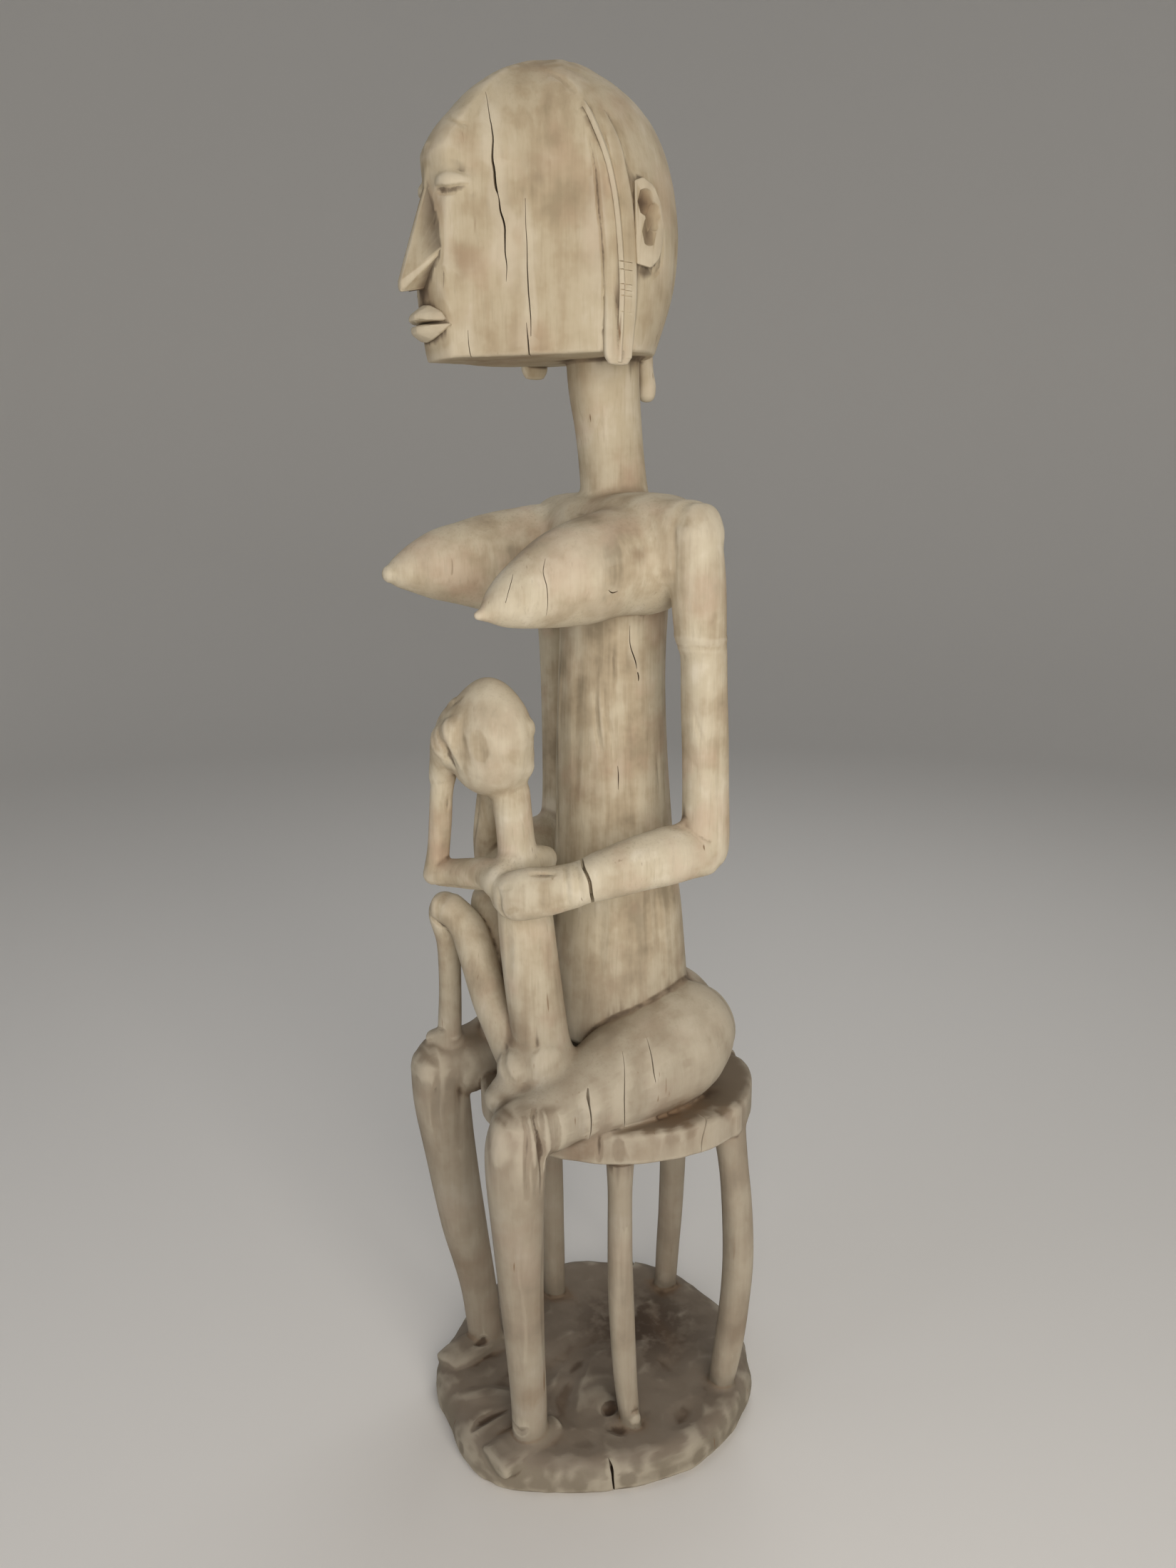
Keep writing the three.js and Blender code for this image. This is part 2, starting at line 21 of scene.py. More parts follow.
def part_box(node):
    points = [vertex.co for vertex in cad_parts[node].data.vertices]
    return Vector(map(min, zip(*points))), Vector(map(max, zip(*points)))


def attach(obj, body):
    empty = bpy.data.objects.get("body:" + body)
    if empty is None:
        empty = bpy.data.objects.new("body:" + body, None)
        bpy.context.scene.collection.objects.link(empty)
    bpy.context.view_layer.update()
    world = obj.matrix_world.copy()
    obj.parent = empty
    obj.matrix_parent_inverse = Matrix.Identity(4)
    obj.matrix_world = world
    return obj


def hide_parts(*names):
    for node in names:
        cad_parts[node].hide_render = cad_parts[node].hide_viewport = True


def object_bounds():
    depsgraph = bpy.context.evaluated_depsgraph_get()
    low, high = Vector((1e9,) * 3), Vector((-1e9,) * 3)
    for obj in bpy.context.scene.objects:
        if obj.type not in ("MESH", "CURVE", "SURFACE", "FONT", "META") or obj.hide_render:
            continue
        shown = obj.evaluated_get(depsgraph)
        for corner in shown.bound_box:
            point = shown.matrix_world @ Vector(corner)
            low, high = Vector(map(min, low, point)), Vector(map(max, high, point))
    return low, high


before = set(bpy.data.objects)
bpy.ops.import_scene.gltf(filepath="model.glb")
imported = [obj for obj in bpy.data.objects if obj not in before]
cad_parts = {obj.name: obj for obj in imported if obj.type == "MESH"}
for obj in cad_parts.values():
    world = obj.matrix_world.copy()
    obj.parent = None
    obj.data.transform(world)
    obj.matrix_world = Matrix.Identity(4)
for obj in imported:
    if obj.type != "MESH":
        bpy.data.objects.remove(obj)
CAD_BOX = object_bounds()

NODE = "maternity_figure"
BODY = "root"
MM = 0.001

# The figure keeps its proportions: stations [x, y, h] are millimetres against the crown's height.
BASE_THICKNESS = 20.8
CROWN_HEIGHT = 725.5
SHARE = (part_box(NODE)[1].z / MM - BASE_THICKNESS) / CROWN_HEIGHT
BASE_RADIUS = 98.5
SEAT_RADIUS = 80.0
SEAT_THICKNESS = 19.0
SITTING_HEIGHT = 186.5

# The block is grown on a grid this fine, and thinned to this many triangles before its crisp cuts.
VOXEL = 0.95
TRIANGLE_BUDGET = 162_000
SHARP_ANGLE = 48.0
WELD = 1e-4
GOLDEN_ANGLE = 2.399963

X_UP = (1.0, 0.0, 0.0)
Y_UP = (0.0, 1.0, 0.0)
Z_UP = (0.0, 0.0, 1.0)

Station = tuple[float, ...]
Socket = bpy.types.NodeSocket
log = logging.getLogger("maternity_figure")


def place(points: np.ndarray) -> np.ndarray:
    """Turns stations into places on the figure.

    Args:
        points: n by 3 stations, x and y and the height above the base's top.

    Returns:
        n by 3 places in millimetres, above the floor.
    """
    return np.asarray(points, float) * SHARE + np.array([0.0, 0.0, BASE_THICKNESS])


def spline(stations: np.ndarray, along: np.ndarray) -> np.ndarray:
    """Follows a smooth line through stations, in any number of dimensions.

    Args:
        stations: the rows that the line passes through.
        along: shares of the way, from 0 to 1.

    Returns:
        One row for each share.
    """
    last = len(stations) - 1
    at = np.clip(along, 0.0, 1.0) * last
    low = np.minimum(at.astype(int), last - 1)
    part = (at - low)[:, None]
    ends = (2 * stations[0] - stations[1], 2 * stations[-1] - stations[-2])
    padded = np.vstack([ends[0], stations, ends[1]])
    a, b, c, d = (padded[low + ahead] for ahead in range(4))
    curve = 2 * b + (c - a) * part + (2 * a - 5 * b + 4 * c - d) * part**2
    return 0.5 * (curve + (3 * b - a - 3 * c + d) * part**3)


def both_sides(corners: Sequence[Station]) -> list[Station]:
    """Returns corners, each one off the middle followed by its mirror image."""
    pairs = [[(x, *rest), (-x, *rest)] if x else [(x, *rest)] for x, *rest in corners]
    return [corner for pair in pairs for corner in pair]


def on_side(side: int, *line: Station) -> list[Station]:
    """Returns a line's stations, kept on her left for 1 and taken to her right for -1."""
    return [(side * x, *rest) for x, *rest in line]


def unit(rows: np.ndarray) -> np.ndarray:
    """Returns rows scaled to a length of one."""
    return rows / np.maximum(np.linalg.norm(rows, axis=1, keepdims=True), 1e-9)


def bent(values: np.ndarray, power: float) -> np.ndarray:
    """Returns a sine or cosine squared off by power, 2 being round."""
    return np.sign(values) * np.abs(values) ** (2 / power)


def step(low: float, high: float, values: np.ndarray) -> np.ndarray:
    """Returns a smooth step from 0 at low to 1 at high."""
    part = np.clip((values - low) / (high - low), 0.0, 1.0)
    return part * part * (3 - 2 * part)


def merge_into(body: bmesh.types.BMesh, other: bmesh.types.BMesh) -> None:
    """Adds one mesh to another and frees the first.

    Args:
        body: the mesh that grows.
        other: the mesh that is added and freed.
    """
    passing = bpy.data.meshes.new("passing")
    other.to_mesh(passing)
    other.free()
    body.from_mesh(passing)
    bpy.data.meshes.remove(passing)


def spun(line: Sequence[tuple[float, float]], steps: int, closed: bool = False) -> bmesh.types.BMesh:
    """Turns a profile once around the upright axis.

    Args:
        line: the profile's points, each its distance from the axis and its height.
        steps: how many facets go round.
        closed: whether the last point joins the first.

    Returns:
        The turned form, as a mesh of its own.
    """
    form = bmesh.new()
    verts = [form.verts.new((out, 0.0, height)) for out, height in line]
    following = verts[1:] + verts[:1] if closed else verts[1:]
    for pair in zip(verts, following):
        form.edges.new(pair)
    bmesh.ops.spin(
        form,
        geom=form.verts[:] + form.edges[:],
        axis=Z_UP,
        cent=(0.0, 0.0, 0.0),
        angle=2 * math.pi,
        steps=steps,
        use_merge=True,
    )
    bmesh.ops.remove_doubles(form, verts=form.verts[:], dist=WELD)
    return form


def quarter(steps: int, first: int = 0) -> list[float]:
    """Returns the angles of a quarter turn in equal steps, from the first step on."""
    return [part / steps * math.pi / 2 for part in range(first, steps + 1)]


def lay_skin(
    body: bmesh.types.BMesh,
    sides: int,
    rows: int,
    ring: Callable[[np.ndarray, np.ndarray], np.ndarray],
) -> None:
    """Adds a sphere and moves its rows of points onto the rings of a form.

    Args:
        body: the mesh that takes the form.
        sides: points around each ring.
        rows: steps from the first pole to the last.
        ring: gives the places for arrays of row numbers and turns from 0 to 1.
    """
    skin = bmesh.new()
    bmesh.ops.create_uvsphere(skin, u_segments=sides, v_segments=rows, radius=1.0)
    points = np.array([vert.co for vert in skin.verts])
    row = np.round(np.arccos(np.clip(-points[:, 2], -1, 1)) / math.pi * rows)
    turn = np.arctan2(points[:, 1], points[:, 0]) / (2 * math.pi) % 1.0
    for vert, spot in zip(skin.verts, ring(row, turn)):
        vert.co = spot
    merge_into(body, skin)


class Form(Protocol):
    """A closed form that a mesh can take."""

    def add_to(self, body: bmesh.types.BMesh) -> None:
        """Adds the form to a mesh, in millimetres."""


@dataclass(frozen=True)
class Limb:
    """A carved limb along stations [x, y, h, half width, half height] with domed ends.

    Its width lies across up, and power above 2 makes it squarer.
    """

    stations: Sequence[Station]
    sides: int = 28
    rows: int = 30
    dome: float = 0.8
    dome_rows: int = 4
    power: float = 2.0
    up: Station = Z_UP

    def add_to(self, body: bmesh.types.BMesh) -> None:
        """Adds the limb to a mesh, in millimetres."""
        lay_skin(body, self.sides, self.rows + 2 * self.dome_rows, self.ring)

    def ring(self, row: np.ndarray, turn: np.ndarray) -> np.ndarray:
        """Places the limb's points.

        Args:
            row: row numbers from the first pole.
            turn: turns around the limb, from 0 to 1.

        Returns:
            n by 3 places in millimetres.
        """
        table = np.array([(*spot, spot[3]) if len(spot) == 4 else spot for spot in self.stations])
        line = place(table[:, :3])
        along = np.clip((row - self.dome_rows) / self.rows, 0, 1)
        total = self.rows + 2 * self.dome_rows
        inward = np.minimum(np.minimum(row, total - row), self.dome_rows) / self.dome_rows
        swell = np.sin(inward * math.pi / 2)[:, None]
        first = np.where(row < self.dome_rows, -1.0, 1.0)
        reach = (np.cos(inward * math.pi / 2) * self.dome * first)[:, None]
        size = spline(table[:, 3:5], along) * SHARE
        nudge = 1e-3
        tangent = unit(spline(line, along + nudge) - spline(line, along - nudge))
        across = unit(np.cross(np.array(self.up), tangent))
        upright = np.cross(tangent, across)
        angle = turn * 2 * math.pi
        spot = spline(line, along) + tangent * reach * size.min(axis=1, keepdims=True)
        spot += across * size[:, :1] * swell * bent(np.cos(angle), self.power)[:, None]
        return spot + upright * size[:, 1:] * swell * bent(np.sin(angle), self.power)[:, None]


@dataclass(frozen=True)
class Egg:
    """An egg or cushion form about one centre, turned about the upright line."""

    centre: Station
    half: Station
    turn: float = 0.0
    sides: int = 40

    def add_to(self, body: bmesh.types.BMesh) -> None:
        """Adds the egg to a mesh, in millimetres.

        Args:
            body: the mesh that takes the forms.
        """
        centre = place(np.array([self.centre]))[0]
        size = Matrix.Diagonal([edge * SHARE for edge in self.half] + [1.0])
        where = Matrix.Translation(centre) @ Matrix.Rotation(self.turn, 4, "Z") @ size
        egg = bmesh.new()
        rows = self.sides // 2
        bmesh.ops.create_uvsphere(egg, u_segments=self.sides, v_segments=rows, radius=1.0, matrix=where)
        merge_into(body, egg)


@dataclass(frozen=True)
class Wedge:
    """A form with flat cuts: the hull of a few corners, its edges taken off by a knife."""

    corners: Sequence[Station]
    edge: float

    def add_to(self, body: bmesh.types.BMesh) -> None:
        """Adds the wedge to a mesh, in millimetres.

        Args:
            body: the mesh that takes the forms.
        """
        cut = bmesh.new()
        corners = place(np.array(self.corners))
        for spot in corners:
            cut.verts.new(spot)
        hull = bmesh.ops.convex_hull(cut, input=cut.verts[:])
        spare = [item for item in hull["geom_interior"] if isinstance(item, bmesh.types.BMVert)]
        bmesh.ops.delete(cut, geom=spare, context="VERTS")
        bmesh.ops.bevel(
            cut,
            geom=cut.edges[:],
            offset=self.edge,
            offset_type="OFFSET",
            segments=2,
            profile=0.5,
            affect="EDGES",
            material=-1,
        )
        # At a flat corner the bevel runs past the form, so its points are held to the form's own box.
        for vert in cut.verts:
            vert.co = np.clip(vert.co, corners.min(axis=0), corners.max(axis=0))
        merge_into(body, cut)


@dataclass(frozen=True)
class Disc:
    """A turned disc with a worn edge, its radius varied around by reach."""

    radius: float
    bottom: float
    top: float
    edge_round: float
    centre: tuple[float, float]
    reach: Callable[[float], float]
    steps: int = 144
    edge_steps: int = 6
    under_share: float = 0.4

    def add_to(self, body: bmesh.types.BMesh) -> None:
        """Adds the disc to a mesh, in millimetres.

        Args:
            body: the mesh that takes the forms.
        """
        low = self.edge_round * self.under_share
        line = [(0.0, self.bottom), (self.radius - low, self.bottom), (self.radius, self.bottom + low)]
        for angle in quarter(self.edge_steps):
            out = self.radius - self.edge_round * (1 - math.cos(angle))
            line.append((out, self.top - self.edge_round * (1 - math.sin(angle))))
        cut = spun([*line, (0.0, self.top)], self.steps)
        for vert in cut.verts:
            factor = self.reach(math.atan2(vert.co.y, vert.co.x))
            vert.co.x = vert.co.x * factor + self.centre[0]
            vert.co.y = vert.co.y * factor + self.centre[1]
        merge_into(body, cut)


@dataclass(frozen=True)
class Ease:
    """A soft passage: where forms flow into each other, about a station, as far as reach."""

    centre: Station
    reach: float
    strength: float = 1.0


class Edge(Enum):
    """How a mark meets the surface."""

    SOFT = 2.0
    CRISP = 1.0


@dataclass(frozen=True)
class Mark:
    """A groove, or a ridge where depth is below 0, along stations that lie near the surface."""

    line: Sequence[Station]
    half_width: float
    depth: float
    edge: Edge = Edge.SOFT
    taper: float = 0.35


@dataclass(frozen=True)
class Crack:
    """A drying crack: a thin blade along stations [x, y, h, half width, depth] at the surface."""

    line: Sequence[Station]
    inward: Station
    wander: float = 0.25


@dataclass(frozen=True)
class Stain:
    """A place where the wood is darker and browner, about a station, as far as reach."""

    centre: Station
    reach: float
    strength: float


@dataclass
class Part:
    """What each part of the carving gives: soft passages, marks, cracks and stains."""

    eases: list[Ease] = field(default_factory=list)
    marks: list[Mark] = field(default_factory=list)
    cracks: list[Crack] = field(default_factory=list)
    stains: list[Stain] = field(default_factory=list)

    def build(self, body: bmesh.types.BMesh) -> None:
        """Adds the part's main forms to the block."""

    def crisp_forms(self) -> list[list[Form]]:
        """Returns the forms that stay crisp, in layers whose own forms don't touch."""
        return []

    def scoops(self) -> list[list[Form]]:
        """Returns the hollows that are cut crisply, in layers too."""
        return []


def lobe(angle: float, middle: float, half: float) -> float:
    """A smooth swelling of an outline about one direction.

    Args:
        angle: the direction asked about, in radians.
        middle: the swelling's middle, in degrees.
        half: its half width, in degrees.

    Returns:
        1 at the middle and 0 past the half width.
    """
    away = abs((math.degrees(angle) - middle + 180) % 360 - 180)
    return 0.5 + 0.5 * math.cos(away / half * math.pi) if away < half else 0.0


@dataclass
class Base(Part):
    """The round base, worn all round, with a spur at its front left and a split in its edge."""

    edge_round: float = 10.5
    spur: float = 11.0
    flat: float = 6.0
    swell: float = 4.0
    wear: float = 0.9
    ripple: float = 0.5
    fine_ripple: float = 0.35

    def __post_init__(self) -> None:
        """Names the hollows and ridges on the base's top, and the splits in its edge."""
        self.marks = [
            Mark([(27, -95, 0), (24, -88, 0), (22.6, -81, 0), (22.5, -70, 0)], 4.2, 1.8),
            Mark([(4, -10, 0), (9, -16, 0), (16, -25, 0), (28, -35, 0), (40, -42, 0), (52, -42, 0)], 9, 1.7),
            Mark([(18, -6, 0), (34, -16, 0), (46, -28, 0)], 15, -1.6),
            Mark([(-2, -62, 0), (0, -36, 0), (-8, 10, 0)], 17, 2.6),
            Mark([(40, 26, 0), (20, 45, 0), (-15, 52, 0)], 18, 2.0),
            Mark([(-62, -10, 0), (-40, -34, 0)], 16, 2.0),
            Mark([(0, -86, 0), (14, -60, 0)], 9, -1.2),
            Mark([(80, 6, 0), (73, 28, 0)], 10, 1.4),
            Mark([(54, -22, 0), (49.5, -15, 0)], 5.0, 2.8),
            Mark([(64, -26, 0), (72, -21, 0)], 5.0, 1.4),
            Mark([(62, -60, 0), (70, -40, 0)], 11, 1.0),
        ]
        self.cracks = [
            Crack([
                (85, -40, 1, 0.3, 4), (89, -40, -3, 1.0, 9), (91, -39.5, -9, 0.7, 9),
                (91, -38.5, -21, 0.5, 7),
            ], (-0.9, 0.4, 0)),
            Crack([(-60, 66, 0, 0.2, 4), (-66, 71, -5, 0.8, 9), (-68, 73, -21, 0.5, 7)], (0.7, -0.7, 0)),
            Crack([(-70, -56, -1, 0.2, 4), (-74, -58, -8, 0.6, 6), (-75, -58, -21, 0.4, 5)], (0.8, 0.6, 0)),
        ]
        self.stains = [
            Stain((49, -14, 0), 11, 0.9), Stain((22.6, -82, 0), 9, 0.5), Stain((66, 40, 4), 12, 0.5),
            Stain((-6, 36, 0), 62, 0.9), Stain((30, -42, 0), 12, 0.4),
        ]

    def reach(self, angle: float) -> float:
        """Returns the outline's reach in a direction, as a factor of the radius.

        Args:
            angle: the direction asked about, in radians.

        Returns:
            The share of the plain radius in that direction.
        """
        grown = self.spur * lobe(angle, -62, 30) - self.flat * lobe(angle, -137, 32)
        grown += self.swell * lobe(angle, 122, 30)
        grown += self.ripple * math.sin(9 * angle + 1) + self.fine_ripple * math.sin(17 * angle)
        return 1 + (grown - self.wear) / BASE_RADIUS

    def build(self, body: bmesh.types.BMesh) -> None:
        """Adds the worn disc to the block."""
        Disc(BASE_RADIUS, 0.0, BASE_THICKNESS, self.edge_round, (0.0, 0.0), self.reach).add_to(body)


@dataclass(frozen=True)
class StoolLeg:
    """One bowed leg: directions in degrees at the seat and foot, foot circle, bow, kick and girth."""

    seat_angle: float
    foot_angle: float
    foot_circle: float
    bow: float
    kick: float = 1.0
    girth: float = 7.4
    seat_out: float = 0.0


@dataclass
class Stool(Part):
    """The round seat on its bowed legs, cut with them from the one log."""

    centre: tuple[float, float] = (3.0, 14.0)
    leg_sink: float = 6.0
    leg_inset: float = 11.7
    leg_stations: int = 8
    leg_swell: float = 0.14
    leg_sway: float = 0.05
    flare: float = 0.25
    flare_from: float = 0.85
    leg_waist: float = 0.95
    edge_round: float = 3.6
    ripple: float = 0.015
    fine_ripple: float = 0.005
    legs: tuple[StoolLeg, ...] = (
        StoolLeg(188, 187, 65.5, 1.0),
        StoolLeg(-29, -23, 66.5, 1.5, 3.0, 6.4),
        StoolLeg(32, 31.5, 71.0, 9.0, 1.0, 7.9, 3.0),
        StoolLeg(117, 120, 69.0, 5.0),
    )

    def __post_init__(self) -> None:
        """Names the soft passages at the legs and the nicks in the rim."""
        self.eases = [
            Ease((66, 56, 172), 18), Ease((62, -13, 4), 12, 0.7), Ease((60, -18, 168), 10, 0.5),
            Ease((60, -40, 180), 16, 0.7), Ease((66, 48, 0), 14, 0.5),
        ]
        self.marks = [
            Mark([(66, -34, 186), (65.5, -34.5, 168)], 2.4, 0.8),
            Mark([(72, -26, 186), (72, -25.5, 170)], 3.4, 0.5),
            Mark([(80.5, 2, 188), (81.5, 2, 180)], 6.0, 0.4),
            Mark([(78, -10, 188), (82, -9, 184)], 6.5, 0.6),
            Mark([(82, 12, 188), (83.5, 14, 182)], 6.0, 0.6),
            Mark([(60, -46, 188), (58, -50, 184)], 6.0, 0.8),
            Mark([(78, 36, 188), (79, 42, 184)], 6.0, 1.2),
            Mark([(-40, -53, 186), (-41, -54, 170)], 2.4, 1.0),
            Mark([(-76, 30, 188), (-77, 30, 172)], 3.0, 1.0),
            Mark([(20, 92, 188), (26, 91, 180)], 6.0, 1.4),
            Mark([(74, 48, 186), (76, 50, 176), (76, 52, 150)], 6.5, -0.9),
        ]
        self.cracks = [
            Crack([
                (77, 26, 187.5, 0.15, 2), (80, 22.5, 184, 0.5, 5), (82, 20.5, 176, 0.45, 5),
                (82, 20, 168, 0.2, 3),
            ], (-0.95, -0.3, 0)),
            Crack([(-30, 78, 187, 0.2, 3), (-31, 86, 182, 0.8, 8), (-31, 89, 170, 0.5, 5)], (0.3, -0.95, 0)),
        ]
        # The broad stain on the seat's top, about (62, 16, 187), is painted shadow under the thigh as well as
        # dirt.
        self.stains = [
            Stain((60, -40, 176), 9, 0.5), Stain((74, -18, 178), 7, 0.5), Stain((82, 22, 176), 8, 0.5),
            Stain((62, 16, 187), 30, 0.8), Stain((74, 56, 40), 16, 0.3), Stain((62, -42, 174), 18, 0.4),
            Stain((76, -14, 175), 20, 0.4), Stain((84, 12, 176), 20, 0.35), Stain((82, 40, 176), 20, 0.4),
        ]

    def build(self, body: bmesh.types.BMesh) -> None:
        """Adds the seat, the legs and the worn knob at one leg's foot to the block.

        Args:
            body: the mesh that takes the forms.
        """
        top = BASE_THICKNESS + SITTING_HEIGHT * SHARE
        Disc(SEAT_RADIUS, top - SEAT_THICKNESS, top, self.edge_round, self.centre, self.reach).add_to(body)
        for leg in self.legs:
            self.leg_form(leg, top).add_to(body)
        Egg((69, -13, 3.5), (4.6, 4.6, 6.5), 0.4).add_to(body)

    def reach(self, angle: float) -> float:
        """Returns the seat outline's reach in a direction, as a factor of the radius."""
        return 1 + self.ripple * math.sin(3 * angle) + self.fine_ripple * math.sin(11 * angle + 2)

    def leg_form(self, leg: StoolLeg, top: float) -> Limb:
        """Shapes one bowed leg from inside the base to inside the seat.

        Args:
            leg: the leg's directions and bow.
            top: the seat's top, above the floor.

        Returns:
            The leg as a limb.
        """
        seat_circle = SEAT_RADIUS - self.leg_inset + leg.seat_out
        height = top - SEAT_THICKNESS - BASE_THICKNESS + self.leg_sink
        stations = []
        for part in np.linspace(0, 1, self.leg_stations):
            turned = 1 - (1 - part) ** leg.kick
            angle = math.radians(leg.foot_angle + (leg.seat_angle - leg.foot_angle) * turned)
            circle = leg.foot_circle + (seat_circle - leg.foot_circle) * part
            circle += leg.bow * math.sin(part * math.pi)
            flare = self.flare * max(part - self.flare_from, 0) / (1 - self.flare_from)
            girth = leg.girth * (self.leg_waist + self.leg_swell * math.sin(part * math.pi) + flare)
            lean = 1 + self.leg_sway * math.sin(part * 9 + leg.bow)
            x = (self.centre[0] + circle * math.cos(angle)) / SHARE
            y = (self.centre[1] + circle * math.sin(angle)) / SHARE
            h = (-self.leg_sink + (height + self.leg_sink) * part) / SHARE
            stations.append((x, y, h, girth * lean / SHARE, girth / lean / SHARE))
        return Limb(stations, rows=40, dome=0.2, up=Y_UP, power=2.3)


@dataclass
class MotherLegs(Part):
    """The mother's long thighs, thin shins and wedge feet, and her rounded seat."""

    def __post_init__(self) -> None:
        """Names the soft passages, the carved flow at the knees and the cracks."""
        self.eases = [
            Ease((51, -72, 188), 22, 0.7), Ease((-49, -74, 184), 22, 0.7), Ease((30, 34, 215), 40, 0.5),
            Ease((-30, 34, 215), 40, 0.5), Ease((48, -62, 5), 16, 0.6), Ease((-36, -52, 5), 15, 0.8),
            Ease((50, 20, 188), 20, 0.3), Ease((30, 64, 214), 40, 0.9), Ease((-30, 64, 214), 40, 0.9),
        ]
        self.marks = [
            Mark([
                (60.5, -70, 209), (65, -73, 202), (67.5, -71, 191), (66, -69, 176), (66, -68, 160),
            ], 2.6, 1.7),
            Mark([(63, -66, 207), (67.5, -67, 198), (68.5, -66, 186), (67, -65, 172)], 2.4, -1.4),
            Mark([(66, -61, 204), (69.5, -61, 194), (67, -60, 182)], 2.6, 1.2),
            Mark([(62, -77, 206), (66.5, -78, 195), (67.5, -79, 180), (66, -78, 160)], 2.4, 1.1),
            Mark([(64, -74.5, 206), (68.5, -74.5, 194), (68, -74, 178)], 2.2, -1.4),
            Mark([(52, -92, 200), (59, -91, 192), (59, -91, 180)], 8.5, -1.3),
            Mark([(-40, -90, 196), (-37, -91, 184)], 8.5, -1.1),
            Mark([(-36, -84, 192), (-36, -86, 165), (-35, -84, 140)], 3.2, 0.8),
            Mark([(-33, -70, 190), (-35, -72, 170), (-34, -72, 140)], 4.0, 0.8),
            Mark([(58, -66, 130), (57, -64, 90), (55, -62, 45)], 4.0, 0.7),
            Mark([(58.5, -80, 120), (57, -76, 85), (54, -74, 50)], 3.0, -0.6),
            Mark([(58, -76, 12), (52, -79, 9), (44, -76, 11)], 3.2, 1.5),
            Mark([(-29, -58, 8), (-33, -66, 7)], 3.2, 2.2),
            Mark([(60, -30, 224), (62, -5, 232), (60, 20, 240)], 10, 0.7),
        ]
        self.cracks = [
            Crack([
                (65.5, -41, 214.5, 0.3, 2), (68, -42.2, 211, 0.9, 4), (70, -42.5, 206, 0.5, 5),
                (70.4, -42, 200, 0.4, 6), (69.5, -41.5, 192, 0.35, 4), (66, -40, 184, 0.12, 2),
            ], (-1, 0.1, 0)),
            Crack([
                (61, -17, 228, 0.1, 2), (67, -20, 220, 0.2, 3), (71.5, -22.5, 208, 0.35, 5),
                (71, -22, 196, 0.3, 4), (68, -20, 188, 0.12, 2),
            ], (-1, 0.1, 0)),
            Crack([
                (62, -2, 233, 0.1, 2), (67, -3.5, 226, 0.25, 4), (71.5, -4.5, 219, 0.35, 4),
                (73, -4, 212, 0.12, 2),
            ], (-1, 0.1, 0)),
            Crack([(-64, -20, 224, 0.15, 2), (-70, -22, 212, 0.5, 5), (-70, -22, 196, 0.3, 4)], (1, 0.1, 0)),
        ]
        self.stains = [
            Stain((66, -6, 226), 16, 0.35), Stain((40, -84, 110), 18, 0.3), Stain((55, -66, 90), 16, 0.3),
            Stain((56, -70, 30), 14, 0.35), Stain((-40, -70, 60), 20, 0.3), Stain((60, -58, 160), 10, 0.35),
        ]

    def build(self, body: bmesh.types.BMesh) -> None:
        """Adds the legs, the feet and the seat of the body to the block.

        Args:
            body: the mesh that takes the forms.
        """
        left_shin = [
            (47, -68, 3, 10.0), (47.5, -69, 30, 10.3), (48.3, -71.5, 65, 11.2), (49.3, -74.3, 105, 12.9),
            (50.4, -76.5, 145, 14.8), (51.5, -77, 180, 16.5), (52, -75.5, 195, 15.5),
        ]
        right_shin = [
            (-41, -54.5, 3, 10.4), (-42.5, -58, 38, 11), (-44.5, -65, 80, 13.4), (-47, -72, 128, 14.9),
            (-49, -76.5, 167, 16.6), (-49, -77.5, 190, 17),
        ]
        hip = [(42, 22, 213, 32.5), (38, 38, 218, 31), (34, 46, 218, 27)]
        left_thigh = [
            (52, -75, 194, 15.5), (51.5, -62, 195, 18), (50, -43, 199, 21), (46, -10, 205.5, 28.6), *hip,
        ]
        right_thigh = [
            (-49, -78, 190, 17), (-49, -66, 189, 19.5), (-48, -46, 191, 21), (-46, -10, 202, 28.6),
            *on_side(-1, *hip),
        ]
        for shin in (left_shin, right_shin):
            Limb(shin, up=Y_UP, rows=44).add_to(body)
        for thigh in (left_thigh, right_thigh):
            Limb(thigh, sides=40, rows=40).add_to(body)
        Egg((0, 36, 218), (56, 40, 32), sides=64).add_to(body)
        left_foot = [
            (47, -52, -2, 7, 6.5), (48, -64, -2.5, 11, 7.5), (50, -80, -3.5, 13, 6.2),
            (51.5, -93, -4.5, 12.5, 5.4),
        ]
        right_foot = [
            (-37, -46, 0, 7, 6), (-38, -56, 0, 11, 7.5), (-35, -73, -1.5, 12.5, 6.2), (-33, -84, -3, 12, 5.0),
        ]
        for foot in (left_foot, right_foot):
            Limb(foot, rows=16, power=2.6, dome=0.4).add_to(body)


